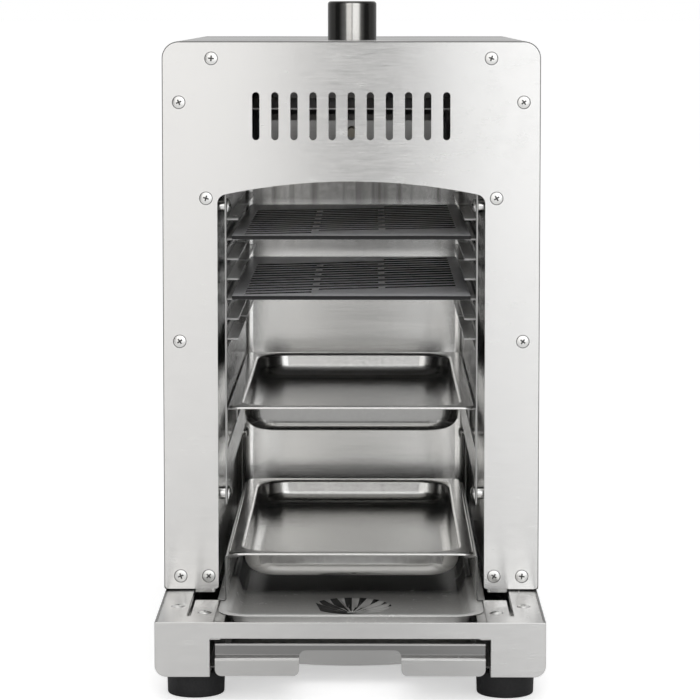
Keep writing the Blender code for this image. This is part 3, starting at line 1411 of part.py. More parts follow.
def make_valve():
    """Valve hung under the top on a bracket, its stem standing up into the knob."""
    brass = material("brass", BRASS)
    skin = BRACKET_SHEET / 2
    shelf = BRACKET_Z + skin
    rest = TOWER_TOP - CASING_SHEET - SEAT - skin
    out = BRACKET_HALF + BRACKET_FLANGE
    path = [(-out, rest), (-BRACKET_HALF, rest), (-BRACKET_HALF, shelf), (BRACKET_HALF, shelf),
            (BRACKET_HALF, rest), (out, rest)]
    start, end = KNOB_Y - BRACKET_WIDTH / 2, KNOB_Y + BRACKET_WIDTH / 2
    satin = material("satin_steel", SATIN)
    bracket = bent_sheet("valve_bracket", path, "Y", start, end, BRACKET_SHEET, satin)
    reach = BRACKET_SHEET + OVERRUN
    radius = VALVE_NECK_RADIUS + SEAT
    hole = [(0, reach), (radius, reach), (radius, -reach), (0, -reach)]
    cut(bracket, turned("neck_hole", hole, STEM_SEGMENTS, None, (0, KNOB_Y, shelf)))

    half_x, half_y = VALVE_WIDTH / 2, VALVE_LENGTH / 2
    low, high = (-half_x, KNOB_Y - half_y, VALVE_Z), (half_x, KNOB_Y + half_y, VALVE_TOP)
    body = box("valve_body", low, high, brass)
    neck = [(0, VALVE_NECK_RISE), (VALVE_NECK_RADIUS, VALVE_NECK_RISE)]
    neck += [(VALVE_NECK_RADIUS, -OVERRUN), (0, -OVERRUN)]
    port_run = half_x + VALVE_PORT_LENGTH
    port = [(0, port_run), (VALVE_PORT_RADIUS, port_run), (VALVE_PORT_RADIUS, -port_run), (0, -port_run)]
    join(
        body,
        turned("valve_neck", neck, STEM_SEGMENTS, None, (0, KNOB_Y, VALVE_TOP)),
        turned("valve_ports", port, TURN_SEGMENTS, None, (0, KNOB_Y, PORT_Z), (0, math.pi / 2, 0)),
    )
    guide = STEM_RADIUS + STEM_CLEARANCE
    chamber = VALVE_CHAMBER_RADIUS
    step = VALVE_CHAMBER_DEPTH
    above = VALVE_HEIGHT + VALVE_NECK_RISE + OVERRUN
    bore = [(0, above), (guide, above), (guide, step), (chamber, step), (chamber, -OVERRUN), (0, -OVERRUN)]
    cut(body, turned("stem_bore", bore, STEM_SEGMENTS, None, (0, KNOB_Y, VALVE_Z)))

    stem_low = VALVE_TOP - STEM_ENTRY
    grip = TOWER_TOP + KNOB_RISE - KNOB_CROWN - STEM_GRIP
    stem_high = grip + STEM_GRIP - SEAT
    rod = [(0, stem_high - stem_low), (STEM_RADIUS, stem_high - stem_low), (STEM_RADIUS, 0), (0, 0)]
    shade(turned("valve_stem", rod, STEM_SEGMENTS, brass, (0, KNOB_Y, stem_low)))
    head = [(0, -SEAT), (PLUNGER_RADIUS, -SEAT), (PLUNGER_RADIUS, -PLUNGER_LENGTH), (0, -PLUNGER_LENGTH)]
    shade(turned("valve_plunger", head, STEM_SEGMENTS, brass, (0, KNOB_Y, stem_low)))


def make_knob():
    """A turned metal cap, hollow from below, with a boss that grips the stem."""
    radius, edge = KNOB_RADIUS, KNOB_EDGE
    top = KNOB_RISE
    hollow = radius - KNOB_WALL
    ceiling = top - KNOB_CROWN
    boss = KNOB_BOSS_RADIUS
    socket = STEM_RADIUS + STEM_CLEARANCE
    arc = [(radius - edge + edge * math.sin(a), top - edge + edge * math.cos(a))
           for a in [math.pi / 2 * step / BEND_STEPS for step in range(BEND_STEPS + 1)]]
    profile = [(0, top), *arc, (radius, -KNOB_SINK), (hollow, -KNOB_SINK), (hollow, ceiling)]
    profile += [(boss, ceiling), (boss, KNOB_BOSS_DROP), (socket, KNOB_BOSS_DROP)]
    profile += [(socket, ceiling), (0, ceiling)]
    look = material("gunmetal", GUNMETAL)
    shade(turned("control_knob", profile, KNOB_SEGMENTS, look, (0, KNOB_Y, TOWER_TOP)))


def main():
    global PARTS, TOOLS
    clear_scene()
    PARTS = make_collection("infrared_gas_grill")
    TOOLS = make_collection("cutters")
    screw_holes = make_screws()
    bolt_holes = make_rack_bolts()
    foot_holes = make_feet()
    make_base(foot_holes, screw_holes["base"])
    make_corner_plates(screw_holes["base"])
    make_drip_floor()
    make_drawer()
    make_runners()
    make_casing(screw_holes["panel"])
    make_front_panel(screw_holes["panel"])
    make_rear_panel()
    make_liner(screw_holes["panel"], bolt_holes)
    make_roof()
    make_racks(bolt_holes)
    make_pan_rails()
    make_grates()
    make_pans()
    make_burner()
    make_gas_line()
    make_valve()
    make_knob()


main()
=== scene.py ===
"""Infrared gas grill: its dressed sheet-metal pieces, their finishes and the studio.

Metres, +Z up, +X to the viewer's right, the front faces -Y. Every piece is placed from
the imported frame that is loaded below, and stands in for the nodes that it replaces.
"""

import json
import math

import bmesh
import bpy
from mathutils import Euler, Matrix, Vector

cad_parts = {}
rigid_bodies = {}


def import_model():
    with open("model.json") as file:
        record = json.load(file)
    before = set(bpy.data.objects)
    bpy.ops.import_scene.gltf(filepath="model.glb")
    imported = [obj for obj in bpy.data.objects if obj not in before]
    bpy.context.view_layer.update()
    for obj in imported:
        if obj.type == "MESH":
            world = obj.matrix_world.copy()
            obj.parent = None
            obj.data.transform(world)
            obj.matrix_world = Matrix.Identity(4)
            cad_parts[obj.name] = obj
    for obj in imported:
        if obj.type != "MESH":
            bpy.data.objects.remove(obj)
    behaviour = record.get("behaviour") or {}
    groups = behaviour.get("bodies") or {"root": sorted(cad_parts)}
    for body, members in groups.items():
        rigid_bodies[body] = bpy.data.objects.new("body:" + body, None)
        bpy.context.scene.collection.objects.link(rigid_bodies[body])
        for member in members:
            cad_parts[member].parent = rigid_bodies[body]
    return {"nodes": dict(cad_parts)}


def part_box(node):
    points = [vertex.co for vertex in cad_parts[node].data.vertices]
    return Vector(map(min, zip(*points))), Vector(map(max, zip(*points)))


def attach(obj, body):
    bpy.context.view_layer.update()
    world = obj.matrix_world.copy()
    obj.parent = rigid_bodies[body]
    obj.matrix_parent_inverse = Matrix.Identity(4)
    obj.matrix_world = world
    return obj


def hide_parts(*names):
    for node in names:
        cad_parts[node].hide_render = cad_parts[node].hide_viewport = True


for leftover in list(bpy.data.objects):
    bpy.data.objects.remove(leftover, do_unlink=True)
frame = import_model()

bl_info = {
    "name": "Infrared gas grill",
    "version": (1, 0, 0),
    "blender": (4, 5, 0),
    "location": "3D View > Sidebar > Grill",
    "description": "Sheet-metal pieces, finishes and studio of an infrared gas grill",
    "category": "Object",
}

MERGE = 0.000001
# The face attribute that marks how much painted shade a face gets
PAINTED_SHADE = "darkness"
# Where the grates' three columns of slots start and end, as shares of the width from the middle
GRATE_COLUMNS = (-0.45, -0.1706, -0.1412, 0.1147, 0.1441, 0.45)
SATIN_SHEET = 0.0012
PRESSED_SHEET = 0.0008
QUARTER = math.pi / 2
SIDES = {"left": -1, "right": 1}
FACING = {
    "X": Matrix(((0, 0, 1, 0), (1, 0, 0, 0), (0, 1, 0, 0), (0, 0, 0, 1))),
    "Y": Matrix(((1, 0, 0, 0), (0, 0, -1, 0), (0, 1, 0, 0), (0, 0, 0, 1))),
    "Z": Matrix.Identity(4),
}
PANEL_SCREWS = ("top", "shoulder", "arch", "side", "foot_outer", "foot_inner")


# Sizes and colours that a user may change

def length(label, default, about):
    return bpy.props.FloatProperty(
        name=label, description=about, default=default, min=0, unit="LENGTH", precision=5,
    )


def count(label, default, about):
    return bpy.props.IntProperty(name=label, description=about, default=default, min=1)


def share(label, default, about):
    return bpy.props.FloatProperty(
        name=label, description=about, default=default, min=0, max=1, subtype="FACTOR",
    )


def plain_value(label, default, about):
    return bpy.props.FloatProperty(name=label, description=about, default=default, min=0, subtype="NONE")


def position(label, default, about):
    return bpy.props.FloatVectorProperty(
        name=label, description=about, default=default, subtype="XYZ", unit="LENGTH",
    )


def colour(label, default, about):
    return bpy.props.FloatVectorProperty(
        name=label, description=about, default=default, min=0, max=1, size=3, subtype="COLOR",
    )


class SheetSizes(bpy.types.PropertyGroup):
    edge: length("Edge round", 0.00028, "Rounding of the cut edges of a sheet")
    margin: length("Panel margin", 0.0007, "Step between the casing and the panels inside it")
    corner: length("Tower corner", 0.012, "Outer radius of the casing's two top bends")
    foot_round: length("Foot round", 0.0022, "Radius at the feet of the panel's legs")
    arch_drop: length("Arch drop", 0.1094, "From the top of the casing to the arch's springing")
    arch_rise: length("Arch rise", 0.0104, "From the springing to the crown of the opening")
    arch_round: length("Arch round", 0.007, "Radius where the arch meets the legs")
    opening: length("Opening width", 0.190, "Clear width between the panel's legs")
    vents: count("Vents", 11, "Number of upright slots in the front panel")
    vent_pitch: length("Vent pitch", 0.0135, "Spacing of the front vents")
    vent_width: length("Vent width", 0.0052, "Width of one front vent")
    vent_height: length("Vent height", 0.034, "Height of one front vent")
    vent_drop: length("Vent drop", 0.0528, "From the top of the casing to the vents' middle")
    rear_vents: count("Rear vents", 6, "Number of level slots in the rear panel")
    rear_pitch: length("Rear vent pitch", 0.011, "Spacing of the rear vents")
    rear_width: length("Rear vent width", 0.120, "Width of one rear vent")
    rear_height: length("Rear vent height", 0.005, "Height of one rear vent")
    rear_drop: length("Rear vent drop", 0.060, "From the top of the casing to the first rear vent")


class ScrewSizes(bpy.types.PropertyGroup):
    head: length("Head radius", 0.00430, "Radius of a raised countersunk head")
    gap: length("Hole gap", 0.00045, "Gap round a head in its hole")
    crown_share: share("Crown", 0.13, "Height of the raised head as a share of its radius")
    porch_crown: share("Porch crown", 0.30, "The same height for the screws of the corner plates")
    recess_share: share("Recess", 0.52, "Reach of the cross recess as a share of the radius")
    seed: count("Seed", 7, "Changes how the screws are turned")


class RackSizes(bpy.types.PropertyGroup):
    levels: count("Levels", 7, "Ledge levels for the grates")
    pitch: length("Level pitch", 0.014347, "Spacing of the ledge levels")
    first: length("First ledge", 0.320306, "Height of the top ledge")
    low: length("Pan ledge", 0.183694, "Height of the ledge that the upper pan hangs on")
    window: length("Window height", 0.008, "Height of the windows that the ledges are bent from")
    low_window: length("Pan window height", 0.030, "Height of the pan ledge's windows")
    margin: length("Window margin", 0.010, "Web left between two windows")
    reach: length("Ledge reach", 0.008, "How far a ledge stands into the chamber")
    sheet: length("Rack sheet", 0.0012, "Thickness of the rack's sheet")
    tab_drop: length("Tab drop", 0.015, "How far the rack's front tab hangs down")
    tab_length: length("Tab length", 0.022, "Length of the rack's front tab")


class GrateSizes(bpy.types.PropertyGroup):
    rows: count("Slot rows", 14, "Rows of slanting slots in a grate")
    slot: length("Slot width", 0.0102, "Width of a slanting slot")
    slope: share("Slot slope", 0.28, "Rise of a slot for its run")
    margin: length("Margin", 0.009, "Plain margin at the grate's ends")
    sheet: length("Grate sheet", 0.0015, "Thickness of the grate's sheet")

    def slot_pitch(self, high):
        """Spacing of the slot rows of a grate whose box ends at high."""
        plain = 2 * self.margin + self.slot + 2 * high.x * 0.9 * self.slope
        return (high.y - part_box("grate_upper")[0].y - plain) / (self.rows - 1)


class PanSizes(bpy.types.PropertyGroup):
    sheet: length("Pan sheet", 0.0008, "Thickness of a pan's sheet")
    rim: length("Rim width", 0.0095, "Width of the flat rim")
    lip: length("Lip", 0.0017, "Height of the turned-down lip")
    outer: length("Outer corner", 0.008, "Radius of the rim's corners")
    inner: length("Inner corner", 0.025, "Radius of the bowl's corners")
    fillet: length("Bottom fillet", 0.0115, "Radius between the walls and the floor")
    lean: length("Wall lean", 0.0015, "How far the walls lean in towards the floor")


class DrawerSizes(bpy.types.PropertyGroup):
    finger: length("Finger cut-out", 0.0694, "Width of the cut-out in the drawer's front")
    finger_height: length("Cut-out height", 0.017, "Height of the cut-out")
    finger_round: length("Cut-out round", 0.0045, "Radius of the cut-out's corners")
    lip: length("Lip height", 0.0114, "Height of the forward lower lip")
    slope: length("Lip step", 0.0038, "How far the upper strip stands behind the lip")
    hem: length("Hem", 0.0016, "Forward fold along the upper edge")
    bow: length("Plate bow", 0.0014, "Bow of the finger plate's lower edge")


class FinishColours(bpy.types.PropertyGroup):
    brushed: colour("Brushed steel", (0.74, 0.735, 0.725), "Casing, panels and base")
    polished: colour("Polished steel", (0.86, 0.855, 0.84), "Liner, pans and drip floor")
    pan: colour("Pressed pans", (0.74, 0.735, 0.72), "Both pans")
    satin: colour("Satin steel", (0.70, 0.695, 0.685), "Racks, rails and inner sheets")
    grate: colour("Grate steel", (0.80, 0.80, 0.82), "Both grates")
    knob: colour("Gunmetal", (0.56, 0.55, 0.53), "Control knob")
    rubber: colour("Rubber", (0.016, 0.016, 0.017), "Feet")
    brass: colour("Brass", (0.70, 0.53, 0.27), "Gas fittings")
    ceramic: colour("Ceramic", (0.80, 0.74, 0.63), "Burner tile and electrode")
    aluminium: colour("Aluminium", (0.74, 0.74, 0.75), "Gas pipes and mixing tube")


class StudioSettings(bpy.types.PropertyGroup):
    floor: colour("Floor", (0.93, 0.93, 0.93), "Colour of the floor")
    key: plain_value("Soft box level", 1.15, "Brightness of the two front soft boxes")
    top: plain_value("Top light level", 0.85, "Brightness of the overhead soft box")
    fill: plain_value("Fill level", 0.55, "Brightness of the surrounding studio")
    mirrored: share("Mirrored background", 0.12, "How much of the white background metal shows")
    flag: length("Flag width", 0.11, "Width of the dark flag between the soft boxes")
    card: share("Side flags", 0.22, "Brightness of the side flags' cloth")
    lens: plain_value("Lens", 145.84, "Focal length in millimetres")
    place: position("Camera place", (0.0134, -2.1449, 0.4706), "Where the camera stands")
    aim: position("Camera aim", (-0.0008, -0.1509, 0.3171), "The point in the middle of the picture")
    drop: share("Lens drop", 0.177, "Downward shift of the lens as a share of the width")


GROUPS = {
    "grill_sheets": SheetSizes,
    "grill_screws": ScrewSizes,
    "grill_racks": RackSizes,
    "grill_grates": GrateSizes,
    "grill_pans": PanSizes,
    "grill_drawer": DrawerSizes,
    "grill_colours": FinishColours,
    "grill_studio": StudioSettings,
}


def sizes(name):
    return getattr(bpy.context.scene, f"grill_{name}")


# Node trees

def node(tree, kind, inputs=None, **settings):
    """Adds a node. An input given as a socket is linked, and any other value is set."""
    made = tree.nodes.new(kind)
    for key, value in settings.items():
        setattr(made, key, value)
    for key, value in (inputs or {}).items():
        socket = made.inputs[key]
        if isinstance(value, bpy.types.NodeSocket):
            tree.links.new(value, socket)
        elif isinstance(value, list):
            for source in value:
                tree.links.new(source, socket)
        else:
            socket.default_value = value
    return made


def wire(tree, kind, inputs=None, **settings):
    """Adds a node and gives its first output."""
    return node(tree, kind, inputs, **settings).outputs[0]


def math_of(tree, operation, *values, clamp=False):
    """A sum of sockets or numbers."""
    return wire(tree, "ShaderNodeMath", dict(enumerate(values)), operation=operation, use_clamp=clamp)


def plus(tree, first, second, clamp=False):
    return math_of(tree, "ADD", first, second, clamp=clamp)


def minus(tree, first, second, clamp=False):
    return math_of(tree, "SUBTRACT", first, second, clamp=clamp)


def times(tree, first, second):
    return math_of(tree, "MULTIPLY", first, second)


def vector_of(tree, x=0.0, y=0.0, z=0.0):
    return wire(tree, "ShaderNodeCombineXYZ", {"X": x, "Y": y, "Z": z})


def joined(tree, *shapes):
    return wire(tree, "GeometryNodeJoinGeometry", {"Geometry": list(shapes)})


def row_of(tree, number, step, start=(0, 0, 0)):
    """Points in a straight row."""
    given = {"Count": number, "Start Location": start, "Offset": step}
    return wire(tree, "GeometryNodeMeshLine", given, mode="OFFSET")


def copies(tree, points, piece):
    """The piece on every point, as plain geometry."""
    made = wire(tree, "GeometryNodeInstanceOnPoints", {"Points": points, "Instance": piece})
    return wire(tree, "GeometryNodeRealizeInstances", {"Geometry": made})


def four_sided(tree, width, height):
    return wire(tree, "GeometryNodeCurvePrimitiveQuadrilateral", {"Width": width, "Height": height})


def geometry_tree(name, inputs):
    """A geometry tree with its named inputs, and its input and output nodes."""
    made = bpy.data.node_groups.new(name, "GeometryNodeTree")
    made.interface.new_socket("Geometry", in_out="INPUT", socket_type="NodeSocketGeometry")
    for label, kind in inputs.items():
        made.interface.new_socket(label, in_out="INPUT", socket_type=f"NodeSocket{kind}")
    made.interface.new_socket("Geometry", in_out="OUTPUT", socket_type="NodeSocketGeometry")
    return made, made.nodes.new("NodeGroupInput").outputs


def end_tree(tree, shape, look):
    """Every tree ends in Realize Instances and Set Material."""
    solid = wire(tree, "GeometryNodeRealizeInstances", {"Geometry": shape})
    skin = wire(tree, "GeometryNodeSetMaterial", {"Geometry": solid, "Material": look})
    node(tree, "NodeGroupOutput", {"Geometry": skin})


def run_tree(made, tree, **values):
    """Adds the tree to the object and sets its inputs by their identifiers."""
    step = made.modifiers.new(tree.name, "NODES")
    step.node_group = tree
    given = {label.replace("_", " ").title(): value for label, value in values.items()}
    for item in tree.interface.items_tree:
        if item.in_out == "INPUT" and item.name in given:
            step[item.identifier] = given.pop(item.name)
    if given:
        raise ValueError(f"{tree.name} has no inputs {sorted(given)}")


def thick_sheet(tree, edges, sheet):
    """Closed curves on the XY plane filled and given the sheet's thickness about z = 0."""
    skin = wire(tree, "GeometryNodeFillCurve", {"Curve": edges}, mode="NGONS")
    up = vector_of(tree, z=sheet)
    raised = wire(
        tree, "GeometryNodeExtrudeMesh",
        {"Mesh": skin, "Offset": up, "Offset Scale": 1.0, "Individual": False}, mode="FACES",
    )
    under = wire(tree, "GeometryNodeFlipFaces", {"Mesh": skin})
    both = joined(tree, raised, under)
    whole = wire(tree, "GeometryNodeMergeByDistance", {"Geometry": both, "Distance": MERGE})
    down = vector_of(tree, z=times(tree, sheet, -0.5))
    return wire(tree, "GeometryNodeTransform", {"Geometry": whole, "Translation": down})


def slotted_sheet_tree():
    """A sheet from its outline, with a straight row of round-ended slots."""
    tree, given = geometry_tree("slotted_sheet", {
        "Slot Count": "Int", "Slot Pitch": "Vector", "First Slot": "Vector",
        "Slot Width": "Float", "Slot Height": "Float", "Sheet": "Float", "Material": "Material",
    })
    outline = wire(tree, "GeometryNodeMeshToCurve", {"Mesh": given["Geometry"]})
    row = row_of(tree, given["Slot Count"], given["Slot Pitch"], given["First Slot"])
    slot = four_sided(tree, given["Slot Width"], given["Slot Height"])
    narrow = math_of(tree, "MINIMUM", given["Slot Width"], given["Slot Height"])
    ends = wire(tree, "GeometryNodeFilletCurve", {
        "Curve": slot, "Count": 10, "Radius": times(tree, narrow, 0.4999), "Limit Radius": True,
    }, mode="POLY")
    edges = joined(tree, outline, copies(tree, row, ends))
    end_tree(tree, thick_sheet(tree, edges, given["Sheet"]), given["Material"])
    return tree


def slanting_slots(tree, given, start, end, first, pitch, number):
    """Curves of one column of slanting slots between two places across the grate."""
    left = times(tree, given["Width"], GRATE_COLUMNS[0])
    half = times(tree, given["Slot Width"], 0.5)
    spots = []
    for place, way in ((start, -1.0), (end, -1.0), (end, 1.0), (start, 1.0)):
        run = minus(tree, place, left)
        rise = times(tree, run, given["Slope"])
        spots.append(vector_of(tree, place, plus(tree, rise, times(tree, half, way))))
    slot = wire(
        tree, "GeometryNodeCurvePrimitiveQuadrilateral",
        {f"Point {index + 1}": spot for index, spot in enumerate(spots)}, mode="POINTS",
    )
    row = row_of(tree, number, vector_of(tree, y=pitch), vector_of(tree, y=first))
    return copies(tree, row, slot)


def grate_tree():
    """A grate: three columns of slanting slots, with every second row running through."""
    tree, given = geometry_tree("slotted_grate", {
        "Width": "Float", "Length": "Float", "Rows": "Int", "Slot Width": "Float",
        "Slope": "Float", "Margin": "Float", "Sheet": "Float", "Material": "Material",
    })
    across = [times(tree, given["Width"], place) for place in GRATE_COLUMNS]
    starts, ends = across[::2], across[1::2]
    slotted = GRATE_COLUMNS[-1] - GRATE_COLUMNS[0]
    rise = times(tree, times(tree, given["Width"], slotted), given["Slope"])
    first = plus(tree, given["Margin"], times(tree, given["Slot Width"], 0.5))
    plain = plus(tree, times(tree, first, 2.0), rise)
    run = minus(tree, given["Length"], plain)
    pitch = math_of(tree, "DIVIDE", run, minus(tree, given["Rows"], 1.0))
    second = plus(tree, first, pitch)
    third = plus(tree, second, pitch)
    double = times(tree, pitch, 2.0)
    last = plus(tree, first, run)
    half_rows = times(tree, given["Rows"], 0.5)
    odd = minus(tree, half_rows, 1.0)
    columns = [(start, end, second, double, odd) for start, end in zip(starts, ends)]
    columns += [
        (starts[0], ends[2], third, double, odd),
        (starts[0], ends[0], first, double, 1),
        (starts[2], ends[2], last, double, 1),
    ]
    slots = [slanting_slots(tree, given, *column) for column in columns]
    middle = vector_of(tree, y=times(tree, given["Length"], 0.5))
    edge = four_sided(tree, given["Width"], given["Length"])
    edge = wire(tree, "GeometryNodeTransform", {"Geometry": edge, "Translation": middle})
    sheet = thick_sheet(tree, joined(tree, edge, *slots), given["Sheet"])
    end_tree(tree, joined(tree, sheet, given["Geometry"]), given["Material"])
    return tree


def ledge_tree():
    """Rows of bent ledges added to a rack's plate, one for each window of each level."""
    tree, given = geometry_tree("bent_ledges", {
        "Levels": "Int", "Level Pitch": "Float", "Windows": "Int", "Window Pitch": "Float",
        "First Ledge": "Vector", "Ledge Reach": "Float", "Ledge Length": "Float",
        "Sheet": "Float", "Material": "Material",
    })
    down = vector_of(tree, z=times(tree, given["Level Pitch"], -1.0))
    rows = row_of(tree, given["Levels"], down, given["First Ledge"])
    along = row_of(tree, given["Windows"], vector_of(tree, y=given["Window Pitch"]))
    size = vector_of(tree, given["Ledge Reach"], given["Ledge Length"], given["Sheet"])
    ledge = wire(tree, "GeometryNodeMeshCube", {"Size": size})
    ledges = copies(tree, copies(tree, rows, along), ledge)
    end_tree(tree, joined(tree, given["Geometry"], ledges), given["Material"])
    return tree


def fastener_tree():
    """The same small piece on every point, faced as the point says and turned at random."""
    tree, given = geometry_tree("pieces_on_points", {
        "Piece": "Object", "Size": "Float", "Turn Limit": "Float", "Seed": "Int",
        "Material": "Material",
    })
    facing = wire(
        tree, "GeometryNodeInputNamedAttribute", {"Name": "facing"}, data_type="FLOAT_VECTOR"
    )
    turn = node(
        tree, "FunctionNodeRandomValue", {"Max": given["Turn Limit"], "Seed": given["Seed"]},
        data_type="FLOAT",
    )
    random_turn = next(item for item in turn.outputs if item.enabled)
    spin = wire(tree, "FunctionNodeEulerToRotation", {"Euler": vector_of(tree, z=random_turn)})
    base = wire(tree, "FunctionNodeEulerToRotation", {"Euler": facing})
    both = wire(
        tree, "FunctionNodeRotateRotation", {"Rotation": base, "Rotate By": spin},
        rotation_space="LOCAL",
    )
    piece = node(tree, "GeometryNodeObjectInfo", {"Object": given["Piece"]}).outputs["Geometry"]
    placed = wire(tree, "GeometryNodeInstanceOnPoints", {
        "Points": given["Geometry"], "Instance": piece, "Rotation": both, "Scale": given["Size"],
    })
    end_tree(tree, placed, given["Material"])
    return tree


TREES = {
    "slotted_sheet": slotted_sheet_tree,
    "slotted_grate": grate_tree,
    "bent_ledges": ledge_tree,
    "pieces_on_points": fastener_tree,
}


def tree_named(name):
    return bpy.data.node_groups.get(name) or TREES[name]()


# Shapes

def rounded(points, radii, steps=8, closed=True):
    """The outline with an arc of the given radius at each point, and none where it is zero."""
    points = [Vector(point) for point in points]
    last = len(points) - 1
    result = []
    for index, point in enumerate(points):
        radius = radii[index] if isinstance(radii, (list, tuple)) else radii
        if not radius or (not closed and index in (0, last)):
            result.append(point)
            continue
        back = (points[index - 1] - point).normalized()
        ahead = (points[(index + 1) % len(points)] - point).normalized()
        half = back.angle(ahead) / 2
        centre = point + (back + ahead).normalized() * (radius / math.sin(half))
        first = (point + back * (radius / math.tan(half)) - centre).normalized()
        final = (point + ahead * (radius / math.tan(half)) - centre).normalized()
        for step in range(steps + 1):
            result.append(centre + first.slerp(final, step / steps).normalized() * radius)
    return result


def rectangle(low, high):
    return [low, (high[0], low[1]), high, (low[0], high[1])]


def circle(centre, radius, segments=36):
    turns = [math.tau * index / segments for index in range(segments)]
    return [(centre[0] + radius * math.cos(a), centre[1] + radius * math.sin(a)) for a in turns]


def new_object(name, mesh):
    made = bpy.data.objects.new(name, mesh)
    bpy.context.scene.collection.objects.link(made)
    return made


def mesh_object(name, spots, edges=(), faces=()):
    """A mesh from its points, linked to the scene."""
    mesh = bpy.data.meshes.new(name)
    mesh.from_pydata([tuple(spot) for spot in spots], edges, faces)
    mesh.update()
    return new_object(name, mesh)


def settle(made, place=Matrix.Identity(4)):
    """The object's evaluated shape as its own plain mesh, moved to its place."""
    bpy.context.view_layer.update()
    graph = bpy.context.evaluated_depsgraph_get()
    mesh = bpy.data.meshes.new_from_object(
        made.evaluated_get(graph), preserve_all_data_layers=True, depsgraph=graph
    )
    mesh.transform(place)
    made.modifiers.clear()
    made.data = mesh
    mesh.name = made.name
    return made


def soften(made, width, segments=2, angle=38):
    """Rounds the sharp edges and keeps the flat faces flat in the shading."""
    made.data.shade_smooth()
    if width:
        bevel = made.modifiers.new("Edges", "BEVEL")
        bevel.limit_method = "ANGLE"
        bevel.angle_limit = math.radians(angle)
        bevel.width = width
        bevel.segments = segments
        bevel.use_clamp_overlap = True
    level = made.modifiers.new("Flat faces", "WEIGHTED_NORMAL")
    level.keep_sharp = True
    level.weight = 80
    return settle(made)


def cut_sheet(name, outlines, sheet, faces, middle, look, edge=None, **slots):
    """A flat sheet from its outline and holes, with a row of slots where one is given."""
    spots, edges = [], []
    for outline in outlines:
        start, number = len(spots), len(outline)
        spots += [(point[0], point[1], 0) for point in outline]
        edges += [(start + index, start + (index + 1) % number) for index in range(number)]
    made = mesh_object(name, spots, edges)
    values = {"slot_count": 0, "sheet": sheet, "material": look, **slots}
    run_tree(made, tree_named("slotted_sheet"), **values)
    shift = {"X": (middle, 0, 0), "Y": (0, middle, 0), "Z": (0, 0, middle)}[faces]
    settle(made, Matrix.Translation(shift) @ FACING[faces])
    return soften(made, sizes("sheets").edge if edge is None else edge)


def thicken(made, sheet, even=True):
    """Gives the surface the sheet's thickness, half of it to each side."""
    skin = made.modifiers.new("Sheet", "SOLIDIFY")
    skin.thickness = sheet
    skin.offset = 0.0
    skin.use_even_offset = even
    skin.use_quality_normals = even


def welded(made):
    """Joins the doubled points and turns every face outwards."""
    shape = bmesh.new()
    shape.from_mesh(made.data)
    bmesh.ops.remove_doubles(shape, verts=shape.verts, dist=MERGE)
    bmesh.ops.recalc_face_normals(shape, faces=shape.faces)
    shape.to_mesh(made.data)
    shape.free()
    return made


def bent_sheet(name, path, along, start, end, sheet, edge=None, holes=()):
    """A sheet whose middle line is the path, drawn out along one axis from start to end."""
    rows = []
    for run in (start, end):
        rows += [{"X": (run, a, b), "Y": (a, run, b), "Z": (a, b, run)}[along] for a, b in path]
    number = len(path)
    faces = [(i, i + 1, i + 1 + number, i + number) for i in range(number - 1)]
    made = welded(mesh_object(name, rows, (), faces))
    thicken(made, sheet)
    settle(made)
    for hole in holes:
        drill(made, hole)
    return soften(made, sizes("sheets").edge if edge is None else edge)


def drill(made, tool):
    """Cuts the tool out of the piece and removes the tool."""
    step = made.modifiers.new("Hole", "BOOLEAN")
    step.operation = "DIFFERENCE"
    step.solver = "EXACT"
    step.object = tool
    settle(made)
    bpy.data.objects.remove(tool, do_unlink=True)


def ring(half_x, half_y, corner, height, middle=(0, 0), steps=10):
    """A level rounded rectangle as points in space, the same number whatever its size."""
    low = (middle[0] - half_x, middle[1] - half_y)
    high = (middle[0] + half_x, middle[1] + half_y)
    return [(x, y, height) for x, y in rounded(rectangle(low, high), corner, steps)]


def lofted(name, rings, sheet, edge=0.0002):
    """A sheet drawn through the rings, closed over the last one."""
    number = len(rings[0])
    spots = [spot for points in rings for spot in points]
    faces = []
    for level in range(len(rings) - 1):
        base = level * number
        for index in range(number):
            after = (index + 1) % number
            faces.append((base + index, base + after, base + number + after, base + number + index))
    faces.append(tuple(range(len(spots) - number, len(spots))))
    made = welded(mesh_object(name, spots, (), faces))
    thicken(made, sheet)
    settle(made)
    return soften(made, edge, angle=60)


def turned(name, profile, segments=64, place=(0, 0, 0), turn=(0, 0, 0)):
    """A closed body of (radius, height) points from pole to pole, turned about its own Z."""
    spots, rows, faces = [], [], []
    for radius, height in profile:
        if radius < MERGE:
            rows.append([len(spots)] * segments)
            spots.append((0, 0, height))
            continue
        rows.append([len(spots) + index for index in range(segments)])
        for index in range(segments):
            a = math.tau * index / segments
            spots.append((radius * math.cos(a), radius * math.sin(a), height))
    for upper, lower in zip(rows, rows[1:]):
        for index in range(segments):
            after = (index + 1) % segments
            corners = [upper[index], upper[after], lower[after], lower[index]]
            faces.append(tuple(dict.fromkeys(corners)))
    faces = [corners for corners in faces if len(corners) > 2]
    made = welded(mesh_object(name, spots, (), faces))
    made.data.transform(Matrix.Translation(place) @ Euler(turn).to_matrix().to_4x4())
    return made


def block(name, low, high):
    """A plain box between two corners."""
    ends = list(zip(low, high))
    spots = [(x, y, z) for z in ends[2] for y in ends[1] for x in ends[0]]
    faces = [(0, 2, 3, 1), (4, 5, 7, 6), (0, 1, 5, 4), (2, 6, 7, 3), (0, 4, 6, 2), (1, 3, 7, 5)]
    return mesh_object(name, spots, (), faces)


def merged(name, *pieces):
    """Several meshes as one object, keeping their shading."""
    with bpy.context.temp_override(
        active_object=pieces[0], object=pieces[0],
        selected_objects=pieces, selected_editable_objects=pieces,
    ):
        bpy.ops.object.join()
    pieces[0].name = name
    return pieces[0]


